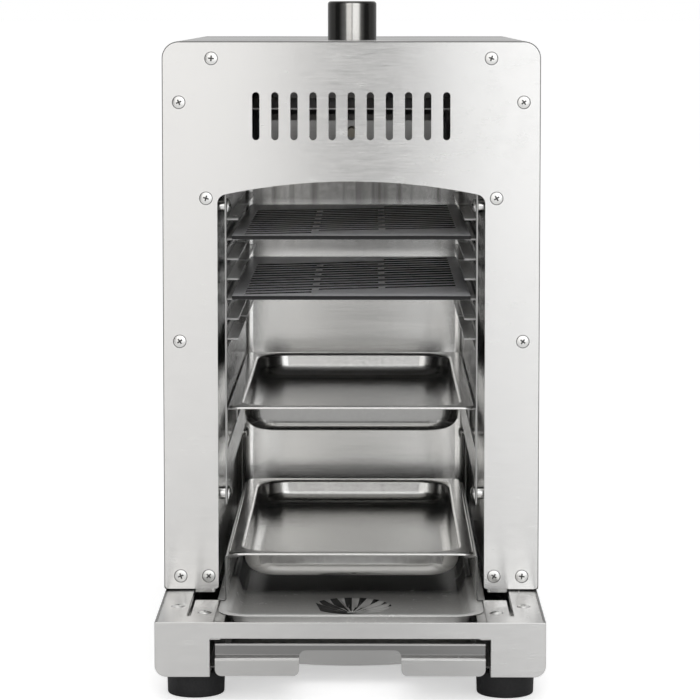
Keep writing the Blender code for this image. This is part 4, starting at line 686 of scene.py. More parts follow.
def points_on(name, places):
    """A cloud of points, each with the way that its piece faces."""
    made = mesh_object(name, [place for place, _ in places])
    facing = made.data.attributes.new("facing", "FLOAT_VECTOR", "POINT")
    for item, (_, turn) in zip(facing.data, places):
        item.vector = turn
    return made


def placed(name, piece, places, look, size=1.0, turn_limit=0.0, seed=1):
    """Copies of the piece on each of the places, as one object."""
    made = points_on(name, places)
    run_tree(
        made, tree_named("pieces_on_points"), piece=piece, size=size,
        turn_limit=turn_limit, seed=seed, material=look,
    )
    settle(made)
    bpy.data.objects.remove(piece, do_unlink=True)
    return made


def look(slot):
    return bpy.data.materials[f"{slot}_finish"]


def mark_painted_shade(made, amount, test=lambda centre, normal: normal.y < -0.5):
    """Marks the faces that the test picks, those to the front by default, with an amount of painted shade."""
    known = made.data.attributes
    marks = known.get(PAINTED_SHADE) or known.new(PAINTED_SHADE, "FLOAT", "FACE")
    for face in made.data.polygons:
        if test(face.center, face.normal):
            marks.data[face.index].value = amount
    return made


def dress(made, slot, body, *nodes, finish=None):
    """Gives the piece its finish, lets it ride on its body and stand for its nodes."""
    skin = look(finish or slot)
    if not made.data.materials:
        made.data.materials.append(skin)
    for index in range(len(made.data.materials)):
        made.data.materials[index] = skin
    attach(made, body)
    if nodes:
        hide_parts(*nodes)
    return made


# Finishes

def shader_group(name, inputs, outputs):
    """A shader group with its named inputs, which gives masks only."""
    made = bpy.data.node_groups.new(name, "ShaderNodeTree")
    for label, (kind, default) in inputs.items():
        socket = made.interface.new_socket(label, in_out="INPUT", socket_type=f"NodeSocket{kind}")
        socket.default_value = default
    for label in outputs:
        made.interface.new_socket(label, in_out="OUTPUT", socket_type="NodeSocketFloat")
    return made, made.nodes.new("NodeGroupInput").outputs


def axes_of(tree, vector):
    return node(tree, "ShaderNodeSeparateXYZ", {"Vector": vector}).outputs


def ramp(tree, value, low, high):
    """Turns a range of values into 0 to 1, smoothly."""
    made = node(
        tree, "ShaderNodeMapRange", {"Value": value, "From Min": low, "From Max": high},
        interpolation_type="SMOOTHSTEP",
    )
    return made.outputs["Result"]


def noise(tree, vector, scale, detail=2.0, roughness=0.55):
    made = node(tree, "ShaderNodeTexNoise", {
        "Vector": vector, "Scale": scale, "Detail": detail, "Roughness": roughness,
    })
    return made.outputs["Fac"]


def grain_group():
    """Brushing lines that run level on upright faces and front to back on level ones."""
    tree, given = shader_group("brushed_grain", {
        "Vector": ("Vector", (0, 0, 0)), "Across": ("Float", 900.0), "Along": ("Float", 9.0),
    }, ("Lines", "Broad"))
    axes = axes_of(tree, given["Vector"])
    steep = axes_of(tree, node(tree, "ShaderNodeNewGeometry").outputs["Normal"])["Z"]
    level = ramp(tree, math_of(tree, "ABSOLUTE", steep), 0.6, 0.8)
    x, y = (times(tree, axes[index], given["Along"]) for index in (0, 1))
    x_fine = times(tree, axes[0], given["Across"])
    z_fine = times(tree, axes[2], given["Across"])
    results = {}
    for label, factor in (("Lines", 1.0), ("Broad", 0.13)):
        walls = noise(tree, vector_of(tree, x, y, times(tree, z_fine, factor)), 1.0, 3.0, 0.7)
        decks = noise(tree, vector_of(tree, times(tree, x_fine, factor), y), 1.0, 3.0, 0.7)
        both = node(tree, "ShaderNodeMix", {"Factor": level, 2: walls, 3: decks}, data_type="FLOAT")
        results[label] = ramp(tree, both.outputs[0], 0.25, 0.75)
    node(tree, "NodeGroupOutput", results)
    return tree


def marks_group():
    """Wipe marks, faint stains and fine specks left by handling."""
    tree, given = shader_group("handling_marks", {
        "Vector": ("Vector", (0, 0, 0)), "Scale": ("Float", 14.0),
    }, ("Smudge", "Specks"))
    wide = ramp(tree, noise(tree, given["Vector"], given["Scale"], 4.0, 0.6), 0.42, 0.72)
    fine = noise(tree, given["Vector"], times(tree, given["Scale"], 9.0), 3.0, 0.7)
    smudge = times(tree, wide, ramp(tree, fine, 0.3, 0.7))
    dots = node(tree, "ShaderNodeTexVoronoi", {
        "Vector": given["Vector"], "Scale": times(tree, given["Scale"], 26.0),
    }).outputs["Distance"]
    specks = minus(tree, 1.0, ramp(tree, dots, 0.02, 0.10))
    node(tree, "NodeGroupOutput", {"Smudge": smudge, "Specks": specks})
    return tree


def edge_group():
    """A mask of the worn and deburred edges, from how the rounded normal differs."""
    tree, given = shader_group("edge_wear", {
        "Radius": ("Float", 0.0006), "Vector": ("Vector", (0, 0, 0)),
    }, ("Edge",))
    soft = wire(tree, "ShaderNodeBevel", {"Radius": given["Radius"]}, samples=4)
    true = node(tree, "ShaderNodeNewGeometry").outputs["Normal"]
    same = node(
        tree, "ShaderNodeVectorMath", {0: soft, 1: true}, operation="DOT_PRODUCT"
    ).outputs["Value"]
    edge = ramp(tree, minus(tree, 1.0, same), 0.01, 0.20)
    broken = ramp(tree, noise(tree, given["Vector"], 220.0, 3.0), 0.3, 0.6)
    node(tree, "NodeGroupOutput", {"Edge": times(tree, edge, broken)})
    return tree


def shared(tree, name, **inputs):
    """The outputs of one of the groups that the finishes share, made when it is first used."""
    makers = {"brushed_grain": grain_group, "handling_marks": marks_group, "edge_wear": edge_group}
    group = bpy.data.node_groups.get(name) or makers[name]()
    return node(
        tree, "ShaderNodeGroup", {key.title(): value for key, value in inputs.items()},
        node_tree=group,
    ).outputs


def blank_material(slot, **constants):
    """A material with its own shader, its constants set on the shader's sockets."""
    made = bpy.data.materials.new(f"{slot}_finish")
    made.use_nodes = True
    tree = made.node_tree
    shader = tree.nodes["Principled BSDF"]
    for label, value in constants.items():
        shader.inputs[label.replace("_", " ").title().replace("Ior", "IOR")].default_value = value
    place = node(tree, "ShaderNodeTexCoord").outputs["Object"]
    return tree, shader, place


def shade_between(tree, mask, dark, light):
    """Mixes two colours, each given as numbers or as another node's colour."""
    dark, light = (
        rgb if isinstance(rgb, bpy.types.NodeSocket) else (*rgb, 1.0) for rgb in (dark, light)
    )
    return node(tree, "ShaderNodeMix", {0: mask, 6: dark, 7: light}, data_type="RGBA").outputs[2]


def stain(tree, shader, mask, rgb):
    """Lays another colour over the finish where the mask is 1."""
    under = shader.inputs["Base Color"].links[0].from_socket
    tree.links.new(shade_between(tree, mask, under, rgb), shader.inputs["Base Color"])


def scaled(rgb, factor):
    return tuple(min(1.0, channel * factor) for channel in rgb)


def feed(tree, shader, **values):
    """Links each value to the shader's input of that name."""
    for label, value in values.items():
        tree.links.new(value, shader.inputs[label.replace("_", " ").title()])


def raised(tree, height, strength, distance):
    return wire(tree, "ShaderNodeBump", {"Height": height, "Strength": strength, "Distance": distance})


def blacken_painted_shade(tree, shader, rgb):
    """Turns the faces that carry the mark for painted shade almost black, as painted shade in recesses, gaps
    and shadowed faces.
    """
    marked = node(tree, "ShaderNodeAttribute", attribute_name=PAINTED_SHADE).outputs["Fac"]
    stain(tree, shader, marked, scaled(rgb, 0.03))


def finish_metal(slot, rgb, roughness, grain, marks, bump, spread=0.10, **constants):
    """A metal whose colour, roughness and relief follow its brushing, marks and edges.

    The grain is given as its fineness across and along and its share in the roughness, the
    marks as their scale and their shares in the colour and the roughness, and the bump as its
    strength and height.
    """
    tree, shader, place = blank_material(slot, **{"metallic": 1.0, **constants})
    lines = shared(tree, "brushed_grain", vector=place, across=grain[0], along=grain[1])
    smudge = shared(tree, "handling_marks", vector=place, scale=marks[0])
    edge = shared(tree, "edge_wear", vector=place)["Edge"]
    mixed = plus(tree, times(tree, lines["Lines"], 0.6), times(tree, lines["Broad"], 0.4))
    stained = minus(tree, mixed, times(tree, smudge["Smudge"], marks[1]), True)
    bright = plus(tree, stained, times(tree, edge, 0.7), True)
    rough = math_of(tree, "MULTIPLY_ADD", mixed, grain[2], roughness - grain[2] / 2)
    relief = plus(tree, lines["Lines"], times(tree, smudge["Specks"], 0.08))
    feed(
        tree, shader, normal=raised(tree, relief, *bump),
        base_color=shade_between(tree, bright, scaled(rgb, 1 - spread), scaled(rgb, 1 + spread)),
        roughness=plus(tree, rough, times(tree, smudge["Smudge"], marks[2]), True),
    )
    # Painted shade: the marked faces turn almost black
    blacken_painted_shade(tree, shader, rgb)
    return tree, shader, place


def finish_liner(rgb):
    """Polished walls with heat streaks near the burner, and soot with painted shade, almost black, in the gap
    behind the racks.
    """
    tree, shader, place = finish_metal(
        "heated_liner", scaled(rgb, 1.10), 0.20, (700.0, 10.0, 0.05), (11.0, 0.08, 0.04),
        (0.06, 0.00003), 0.03, anisotropic=0.85, anisotropic_rotation=0.25,
    )
    x, y, z = axes_of(tree, place)
    waves = vector_of(tree, times(tree, x, 110.0), times(tree, y, 110.0), times(tree, z, 3.0))
    streaks = ramp(tree, noise(tree, waves, 1.0, 2.0, 0.5), 0.40, 0.72)
    heated = ramp(tree, z, 0.262, 0.285)
    burnt = ramp(tree, z, 0.285, 0.345)
    mist = ramp(tree, noise(tree, place, 160.0, 5.0, 0.75), 0.30, 0.70)
    above = ramp(tree, z, 0.300, 0.315)
    depth = plus(tree, times(tree, heated, 0.30), times(tree, above, 0.45))
    amount = times(tree, streaks, depth)
    haze = times(tree, burnt, times(tree, mist, 0.55))
    stain(tree, shader, math_of(tree, "MAXIMUM", amount, haze), (0.17, 0.160, 0.140))
    # Soot and painted shade: the side walls behind the racks are painted almost black, for the shade in that
    # gap as well as soot
    behind = ramp(tree, math_of(tree, "ABSOLUTE", x), 0.0955, 0.0970)
    behind = times(tree, behind, ramp(tree, y, 0.192, 0.180))
    soot_and_gap_shade = times(tree, behind, ramp(tree, z, 0.195, 0.235))
    stain(tree, shader, times(tree, soot_and_gap_shade, 0.92), scaled(rgb, 0.04))


def finish_knob(rgb):
    """Polished metal painted dark towards its edges as shade, so that it is brightest where it faces the
    viewer.
    """
    tree, shader, _ = finish_metal(
        "gunmetal", rgb, 0.22, (3200.0, 60.0, 0.08), (60.0, 0.15, 0.05), (0.15, 0.00002), 0.10,
        anisotropic=0.8, anisotropic_rotation=0.25,
    )
    # Painted shade: the faces turned away from the viewer are painted dark
    edge = node(tree, "ShaderNodeLayerWeight", {"Blend": 0.5}).outputs["Facing"]
    stain(tree, shader, ramp(tree, edge, 0.004, 0.17), scaled(rgb, 0.10))


def finish_drip_floor(rgb):
    """Pressed steel, painted almost black on its rear part as painted shade under the pan."""
    tree, shader, place = finish_metal(
        "drip_steel", scaled(rgb, 1.10), 0.20, (500.0, 300.0, 0.06), (20.0, 0.18, 0.10),
        (0.10, 0.00003), 0.05, metallic=0.15,
    )
    # Painted shade: the floor behind the front is painted almost black, for the shade under the pan
    under_pan_shade = times(tree, ramp(tree, axes_of(tree, place)["Y"], -0.056, -0.030), 0.97)
    stain(tree, shader, under_pan_shade, (0.022, 0.020, 0.018))


def bridge_highlight(tree, place):
    """The part of a grate's through slots that crosses the two bars between the columns, where a highlight is
    painted.
    """
    x, y, _ = axes_of(tree, place)
    g, (low, high) = sizes("grates"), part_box("grate_upper")
    width, pitch = high.x - low.x, g.slot_pitch(high)
    left, right = (width * sum(GRATE_COLUMNS[at:at + 2]) / 2 for at in (1, 3))
    half = width * (GRATE_COLUMNS[2] - GRATE_COLUMNS[1]) / 2
    column = math_of(tree, "ABSOLUTE", minus(tree, x, (left + right) / 2))
    column = math_of(tree, "ABSOLUTE", minus(tree, column, (right - left) / 2))
    column = ramp(tree, column, half, half - 0.0004)
    rise = times(tree, minus(tree, x, GRATE_COLUMNS[0] * width), g.slope)
    row = minus(tree, minus(tree, y, low.y + g.margin + pitch), rise)
    row = math_of(tree, "DIVIDE", row, 2 * pitch)
    after = math_of(tree, "GREATER_THAN", row, 0.0)
    before = math_of(tree, "LESS_THAN", row, g.rows / 2 - 1.0)
    filled = math_of(tree, "LESS_THAN", math_of(tree, "FRACT", row), g.slot / (2 * pitch))
    return times(tree, column, times(tree, times(tree, after, before), filled))


def finish_enamel(slot, rgb):
    """Dark heat-proof coating: matt grey that shines only at a low angle."""
    tree, shader, place = blank_material(slot, metallic=0.35, specular_ior_level=0.2)
    fine = noise(tree, place, 1400.0, 3.0, 0.6)
    marks = shared(tree, "handling_marks", vector=place, scale=26.0)
    edge = shared(tree, "edge_wear", vector=place)["Edge"]
    mottle = minus(tree, fine, times(tree, marks["Smudge"], 0.35), True)
    relief = plus(tree, fine, times(tree, marks["Specks"], 0.5))
    feed(
        tree, shader, normal=raised(tree, relief, 0.25, 0.00004),
        base_color=shade_between(tree, mottle, scaled(rgb, 0.85), scaled(rgb, 1.12)),
        roughness=math_of(tree, "MULTIPLY_ADD", marks["Smudge"], 0.14, 0.30),
    )
    stain(tree, shader, times(tree, edge, 0.35), scaled(rgb, 1.2))
    # Painted highlight: the bridges across the bars are painted white
    stain(tree, shader, bridge_highlight(tree, place), (1.0, 1.0, 1.0))
    # Painted shade: the marked faces turn almost black
    blacken_painted_shade(tree, shader, rgb)


def finish_rubber(rgb):
    """Black rubber, dusty and paler at its edges."""
    tree, shader, place = blank_material("black_rubber", specular_ior_level=0.35)
    grain = noise(tree, place, 900.0, 4.0, 0.65)
    dust = shared(tree, "handling_marks", vector=place, scale=40.0)
    edge = shared(tree, "edge_wear", vector=place)["Edge"]
    worn = plus(tree, times(tree, dust["Smudge"], 0.5), times(tree, edge, 0.4), True)
    feed(
        tree, shader, normal=raised(tree, grain, 0.5, 0.00012),
        base_color=shade_between(tree, worn, rgb, scaled(rgb, 2.6)),
        roughness=ramp(tree, grain, -0.9, 1.4),
    )


def finish_ceramic(rgb):
    """Pale fired ceramic, pricked all over with small flame holes whose insides are painted dark as shade."""
    tree, shader, place = blank_material("burner_ceramic", specular_ior_level=0.3)
    cells = node(tree, "ShaderNodeTexVoronoi", {
        "Vector": place, "Scale": 420.0, "Randomness": 0.12,
    }).outputs["Distance"]
    solid = ramp(tree, cells, 0.20, 0.34)
    heat = ramp(tree, noise(tree, place, 22.0, 4.0), 0.35, 0.75)
    pale = shade_between(tree, heat, rgb, scaled(rgb, 0.72))
    relief = plus(tree, solid, times(tree, noise(tree, place, 1500.0, 3.0), 0.2))
    feed(
        tree, shader, normal=raised(tree, relief, 0.8, 0.0004),
        # Painted shade: the flame holes are painted near black
        base_color=shade_between(tree, solid, scaled(rgb, 0.12), pale),
        roughness=ramp(tree, heat, -3.0, 1.3),
    )


class GRILL_OT_finishes(bpy.types.Operator):
    """Make the finishes and give one to each carried-over node"""
    bl_idname = "grill.finishes"
    bl_label = "Finishes"

    def execute(self, context):
        c = sizes("colours")
        finish_metal("brushed_steel", tuple(c.brushed), 0.24, (1500.0, 60.0, 0.08), (9.0, 0.08, 0.03),
                     (0.12, 0.00003), 0.045, anisotropic=0.95, anisotropic_rotation=0.25)
        finish_metal("polished_steel", tuple(c.polished), 0.17, (700.0, 10.0, 0.05), (11.0, 0.10, 0.06),
                     (0.06, 0.00003), 0.04, anisotropic=0.8, anisotropic_rotation=0.25)
        finish_metal("pressed_pan", tuple(c.pan), 0.20, (500.0, 300.0, 0.06), (16.0, 0.12, 0.06),
                     (0.12, 0.00003), 0.05)
        finish_drip_floor(tuple(c.polished))
        finish_metal("rack_bright", tuple(c.polished), 0.22, (900.0, 30.0, 0.08), (18.0, 0.15, 0.08),
                     (0.12, 0.00004), 0.05, metallic=0.3)
        finish_metal("satin_steel", tuple(c.satin), 0.36, (900.0, 14.0, 0.14), (18.0, 0.2, 0.10),
                     (0.25, 0.00005), 0.08)
        finish_metal("screw_steel", tuple(c.polished), 0.30, (2500.0, 200.0, 0.08), (70.0, 0.15, 0.08),
                     (0.10, 0.00002), 0.06)
        finish_liner(tuple(c.polished))
        finish_enamel("grate_steel", tuple(c.grate))
        finish_knob(tuple(c.knob))
        finish_metal("brass", tuple(c.brass), 0.28, (1800.0, 120.0, 0.12), (70.0, 0.3, 0.12),
                     (0.25, 0.00004), 0.10)
        finish_metal("aluminium", tuple(c.aluminium), 0.38, (1200.0, 90.0, 0.14), (40.0, 0.2, 0.10),
                     (0.25, 0.00004), 0.08)
        finish_rubber(tuple(c.rubber))
        finish_ceramic(tuple(c.ceramic))
        for piece in frame["nodes"].values():
            for slot in piece.material_slots:
                base = slot.material.name.split(".")[0] if slot.material else ""
                known = f"{base}_finish" in bpy.data.materials
                slot.link = "OBJECT"
                slot.material = look(base if known else "satin_steel")
        return {"FINISHED"}


# Pieces

def middle_of(name):
    """The middle of a node's box."""
    low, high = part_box(name)
    return (low + high) / 2


def reach_of(low, high):
    """The inner and outer distance of a box from the middle plane."""
    return sorted((abs(low.x), abs(high.x)))


def dome_profile(radius, height, power=None, steps=10):
    """Points from the top of a dome to its rim, with a flatter crown where a power is given."""
    points = []
    for step in range(steps + 1):
        a = QUARTER * step / steps
        rise = math.cos(a) if power is None else 1 - math.sin(a) ** power
        points.append((radius * math.sin(a) if step else 0, height * rise))
    return points


def z_rail(name, part, sign, step, bend, steps, sheet):
    """A rail with a foot, a web and a ledge, bent from one strip."""
    low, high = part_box(part)
    skin = sheet / 2
    inner, outer = reach_of(low, high)
    path = [(sign * outer, low.z + skin), (sign * (outer - step), low.z + skin),
            (sign * (outer - step), high.z - skin), (sign * inner, high.z - skin)]
    path = rounded(path, bend, steps, closed=False)
    return bent_sheet(name, path, "Y", low.y, high.y, sheet)


def screw_spots(nodes, faces):
    """Where each screw's head sits and which way it faces, from the frame's own screws."""
    places = []
    for name in nodes:
        low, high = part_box(name)
        middle = (low + high) / 2
        if faces == "front":
            places.append(((middle.x, low.y, middle.z), (QUARTER, 0, 0)))
        else:
            places.append(((middle.x, middle.y, high.z), (0, 0, 0)))
    return places


def screw_blank(crown=None):
    """A raised countersunk screw of head radius 1 with a cross recess."""
    s = sizes("screws")
    crown, reach = crown or s.crown_share, s.recess_share
    dome = dome_profile(0.985, crown, 2.4)
    under = [(1.0, -0.02), (0.985, -0.05), (0.90, -0.12), (1.085, -0.13), (1.085, -0.17),
             (0.46, -0.30), (0.45, -1.5), (0.30, -1.62), (0, -1.62)]
    made = turned("screw_blank", dome + under, 48)
    half, deep = 0.13, crown - 0.32
    for across in (True, False):
        wide, tall = (reach, half) if across else (half, reach)
        tool = block("recess", (-wide, -tall, deep), (wide, tall, crown + 0.2))
        for spot in tool.data.vertices:
            if spot.co.z < 0:
                spot.co.x *= 0.8
                spot.co.y *= 0.8
        drill(made, tool)
    made = soften(made, 0.03, 2, 42)

    # Painted shade: the cross recess and the underside of the head are painted almost black, as the shade
    # inside them
    def sunk(centre, normal):
        across = math.hypot(centre.x, centre.y)
        surface = crown * (1 - min(1.0, across) ** 2.4)
        return centre.z < -0.06 or (across < reach + 0.05 and centre.z < surface - 0.05)

    return mark_painted_shade(made, 0.93, sunk)


class GRILL_OT_front_sheet(bpy.types.Operator):
    """Cut the front panel with its arched opening, vents and screw holes"""
    bl_idname = "grill.front_sheet"
    bl_label = "Front panel"

    def execute(self, context):
        s, screws = sizes("sheets"), sizes("screws")
        low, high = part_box("front_panel")
        half, foot, top = high.x, low.z, high.z
        tower_top = top + s.margin
        open_half = s.opening / 2
        spring = tower_top - s.arch_drop
        radius = (open_half ** 2 + s.arch_rise ** 2) / (2 * s.arch_rise)
        centre = spring + s.arch_rise - radius
        sweep = math.asin(open_half / radius)
        steps = 40
        arch = [
            (radius * math.sin(angle), centre + radius * math.cos(angle))
            for angle in [sweep * (1 - 2 * step / steps) for step in range(steps + 1)]
        ]
        points = [(-half, foot), (-half, top), (half, top), (half, foot), (open_half, foot)]
        points += arch + [(-open_half, foot)]
        corner = s.corner - s.margin
        radii = [s.foot_round, corner, corner, s.foot_round, s.foot_round, s.arch_round]
        radii += [0] * (steps - 1) + [s.arch_round, s.foot_round]
        outlines = [rounded(points, radii, 12)]
        nodes = [f"panel_screw_{row}_{side}" for row in PANEL_SCREWS for side in SIDES]
        for (x, _, z), _ in screw_spots(nodes, "front"):
            outlines.append(circle((x, z), screws.head + screws.gap))
        first = (-(s.vents - 1) / 2 * s.vent_pitch, tower_top - s.vent_drop, 0)
        made = cut_sheet(
            "front_sheet", outlines, high.y - low.y, "Y", (low.y + high.y) / 2, look("brushed_steel"),
            slot_count=s.vents, slot_pitch=(s.vent_pitch, 0, 0), first_slot=first,
            slot_width=s.vent_width, slot_height=s.vent_height,
        )
        dress(made, "brushed_steel", "frame", "front_panel")
        return {"FINISHED"}


class GRILL_OT_rear_sheet(bpy.types.Operator):
    """Cut the rear panel with its level vents and the hole for the gas fitting"""
    bl_idname = "grill.rear_sheet"
    bl_label = "Rear panel"

    def execute(self, context):
        s, screws = sizes("sheets"), sizes("screws")
        low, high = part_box("rear_panel")
        tower_top = high.z + s.margin
        corner = s.corner - s.margin
        edge = [(low.x, low.z), (low.x, high.z), (high.x, high.z), (high.x, low.z)]
        outlines = [rounded(edge, [s.foot_round, corner, corner, s.foot_round], 12)]
        inlet = middle_of("gas_inlet")
        outlines.append(circle((inlet.x, inlet.z), 0.0074))
        spots = []
        for side in SIDES.values():
            for z in (high.z - 0.012, high.z - 0.150, low.z + 0.150, low.z + 0.010):
                spots.append((side * (high.x - 0.010), z))
        outlines += [circle(spot, screws.head + screws.gap) for spot in spots]
        first = (0, tower_top - s.rear_drop, 0)
        made = cut_sheet(
            "rear_sheet", outlines, high.y - low.y, "Y", (low.y + high.y) / 2, look("brushed_steel"),
            slot_count=s.rear_vents, slot_pitch=(0, -s.rear_pitch, 0), first_slot=first,
            slot_width=s.rear_width, slot_height=s.rear_height,
        )
        dress(made, "brushed_steel", "frame", "rear_panel")
        places = [((x, high.y - 0.0002, z), (-QUARTER, 0, 0)) for x, z in spots]
        made = placed("rear_screws", screw_blank(), places, look("polished_steel"),
                      screws.head * 0.86, math.tau, screws.seed + 3)
        dress(made, "polished_steel", "frame", finish="screw_steel")
        return {"FINISHED"}


class GRILL_OT_casing(bpy.types.Operator):
    """Bend the sides and top of the tower from one sheet, with its end flanges"""
    bl_idname = "grill.casing"
    bl_label = "Outer casing"

    def execute(self, context):
        s = sizes("sheets")
        low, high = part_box("outer_casing")
        sheet = SATIN_SHEET
        skin = sheet / 2
        half, foot, top = high.x - skin, low.z + skin, high.z - skin
        corner = s.corner - skin
        path = [(-half + 0.015, foot), (-half, foot), (-half, top),
                (half, top), (half, foot), (half - 0.015, foot)]
        path = rounded(path, [0, 0.0012, corner, corner, 0.0012, 0], 14, closed=False)
        knob, knob_gap, cut = middle_of("control_knob"), 0.0006, 0.01
        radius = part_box("control_knob")[1].x - knob.x + knob_gap
        hole = turned("knob_hole", [(0, cut), (radius, cut), (radius, -cut), (0, -cut)], 96,
                      (knob.x, knob.y, high.z))
        shell = bent_sheet("casing_shell", path, "Y", low.y, high.y, sheet, 0.0003, [hole])
        pieces = [shell]
        for place in (low.y + skin + 0.0002, high.y - skin - 0.0002):
            outer = [(-half, foot), (-half, top), (half, top), (half, foot)]
            inset = 0.020 - skin
            inner = [(half - inset, foot), (half - inset, top - inset),
                     (-half + inset, top - inset), (-half + inset, foot)]
            outline = rounded(outer + inner, [0, corner, corner, 0, 0, 0.002, 0.002, 0], 10)
            pieces.append(cut_sheet("flange", [outline], sheet, "Y", place, look("brushed_steel"), 0.0002))
        # Painted shade: the end flanges nearly black, as the shadowed gap round the panels, and the top a
        # little darker
        made = mark_painted_shade(merged("casing_shell", *pieces), 0.9, lambda _, normal: abs(normal.y) > 0.35)
        mark_painted_shade(made, 0.16, lambda _, normal: normal.z > 0.8)
        dress(made, "brushed_steel", "frame", "outer_casing")
        return {"FINISHED"}


class GRILL_OT_base(bpy.types.Operator):
    """Bend the base, its ledges and its two end walls"""
    bl_idname = "grill.base"
    bl_label = "Base frame"

    def execute(self, context):
        low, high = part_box("base_frame")
        sheet, bend = 0.0015, 0.008
        skin = sheet / 2
        front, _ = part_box("drawer_front")
        opening = -front.x + 0.0034
        lintel = low.z + 0.0264
        wall = high.x - skin
        pieces = []
        for side in SIDES.values():
            path = [(side * wall, high.z), (side * wall, low.z + skin), (side * opening, low.z + skin)]
            path = rounded(path, bend - skin, 12, closed=False)
            pieces.append(bent_sheet("base_side", path, "Y", low.y + 0.0004, high.y - 0.0004, sheet))
            ledge, step = high.z - 0.0030, high.z - 0.0115
            shelf = wall - 0.0195
            path = [(side * wall, ledge), (side * shelf, ledge), (side * shelf, step),
                    (side * (shelf - 0.0245), step)]
            path = rounded(path, 0.0012, 4, closed=False)
            pieces.append(bent_sheet("base_ledge", path, "Y", low.y + skin, high.y - skin, 0.0012))
        for place, is_front in ((low.y + skin, True), (high.y - skin, False)):
            points = [(low.x, high.z), (low.x, low.z), (high.x, low.z), (high.x, high.z)]
            radii = [0.0006, bend, bend, 0.0006]
            if is_front:
                points[2:2] = [(-opening, low.z), (-opening, lintel), (opening, lintel), (opening, low.z)]
                radii[2:2] = [0.0008, 0.0010, 0.0010, 0.0008]
            outline = rounded(points, radii, 12)
            pieces.append(cut_sheet("base_end", [outline], sheet, "Y", place, look("brushed_steel"), 0.00055))
        made = merged("base_shell", *pieces)
        # Painted shade: the front end wall a little darker, and the top edges of the sides dark as shaded
        # outlines
        mark_painted_shade(made, 0.13, lambda centre, normal: normal.y < -0.5 and centre.y < low.y + 0.001)
        mark_painted_shade(made, 0.6, lambda centre, normal: normal.z > 0.7 and centre.z > high.z - 0.0008
               and abs(centre.x) > wall - 0.001)
        dress(made, "brushed_steel", "frame", "base_frame")
        return {"FINISHED"}


class GRILL_OT_corner_plates(bpy.types.Operator):
    """Cut the two plates that close the porch's corners"""
    bl_idname = "grill.corner_plates"
    bl_label = "Corner plates"

    def execute(self, context):
        screws = sizes("screws")
        for side, sign in SIDES.items():
            low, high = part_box(f"base_corner_plate_{side}")
            inner, outer = reach_of(low, high)
            slot, slot_outer, slot_front, step = 0.1095, 0.1125, -0.2255, -0.1725
            corners = [
                (outer, low.y), (outer, high.y), (slot_outer, high.y), (slot_outer, slot_front),
                (slot, slot_front), (slot, step), (inner, step), (inner, low.y),
            ]
            radii = [0.002, 0, 0, 0.0012, 0.0012, 0.0008, 0.002, 0.002]
            outlines = [[(sign * x, y) for x, y in rounded(corners, radii, 8)]]
            nodes = [f"base_screw_{row}_{side}" for row in ("inner", "outer")]
            for (x, y, _), _ in screw_spots(nodes, "top"):
                outlines.append(circle((x, y), screws.head + screws.gap))
            made = cut_sheet(
                f"porch_plate_{side}", outlines, high.z - low.z, "Z", (low.z + high.z) / 2,
                look("brushed_steel"), 0.0003,
            )
            dress(made, "brushed_steel", "frame", f"base_corner_plate_{side}")
        return {"FINISHED"}


class GRILL_OT_screws(bpy.types.Operator):
    """Set the raised countersunk screws of the panel and the corner plates"""
    bl_idname = "grill.screws"
    bl_label = "Screws"

    def execute(self, context):
        s = sizes("screws")
        groups = {
            "panel_screws": ("panel_screw", PANEL_SCREWS, "front", s.crown_share),
            "porch_screws": ("base_screw", ("inner", "outer"), "top", s.porch_crown),
        }
        for name, (kind, rows, faces, crown) in groups.items():
            nodes = [f"{kind}_{row}_{side}" for row in rows for side in SIDES]
            made = placed(name, screw_blank(crown), screw_spots(nodes, faces), look("screw_steel"),
                          s.head, math.tau, s.seed)
            dress(made, "polished_steel", "frame", *nodes, finish="screw_steel")
        return {"FINISHED"}


class GRILL_OT_rack_bolts(bpy.types.Operator):
    """Set the dome-headed bolts that space the racks from the liner"""
    bl_idname = "grill.rack_bolts"
    bl_label = "Rack bolts"

    def execute(self, context):
        nodes, places, rear_pair = [], [], 0.053
        for side, sign in SIDES.items():
            web = reach_of(*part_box(f"rack_{side}"))[1] - SATIN_SHEET
            for level in ("top", "bottom"):
                name = f"rack_bolt_{level}_{side}"
                middle = middle_of(name)
                nodes.append(name)
                for y in (middle.y, rear_pair - middle.y):
                    places.append(((sign * web, y, middle.z), (0, -sign * QUARTER, 0)))
        head, rise, under, shank, spacer = 0.0048, 0.0028, 0.0001, 0.0025, 0.0045
        dome = [(radius, 0.0003 + height) for radius, height in dome_profile(head, rise)]
        body = [(head, under), (shank, under), (shank, -0.0015), (spacer, -0.0015),
                (spacer, -0.0066), (shank, -0.0068), (shank, -0.0128), (0, -0.0128)]
        bolt = soften(turned("bolt", dome + body, 40), 0.0002, 2, 42)
        made = placed("dome_bolts", bolt, places, look("polished_steel"))
        dress(made, "polished_steel", "frame", *nodes)
        return {"FINISHED"}


class GRILL_OT_feet(bpy.types.Operator):
    """Turn the rubber feet"""
    bl_idname = "grill.feet"
    bl_label = "Rubber feet"

    def execute(self, context):
        nodes = [f"foot_{row}_{side}" for row in ("front", "rear") for side in SIDES]
        places = []
        for name in nodes:
            low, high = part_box(name)
            middle = (low + high) / 2
            places.append(((middle.x, middle.y, low.z), (0, 0, 0)))
        radius, top, hollow, deep = (high.x - low.x) / 2, 0.0168, 0.013, 0.0012
        profile = [(0, top), (radius - 0.0004, top), (radius, top - 0.0016), (radius - 0.0005, 0),
                   (hollow, 0), (hollow - 0.001, deep), (0, deep)]
        profile = rounded(profile, [0, 0.0008, 0.001, 0.0012, 0, 0, 0], 6)
        foot = soften(turned("foot", profile, 72), 0.0, 1)
        made = placed("rubber_feet", foot, places, look("black_rubber"))
        dress(made, "black_rubber", "frame", *nodes)
        return {"FINISHED"}


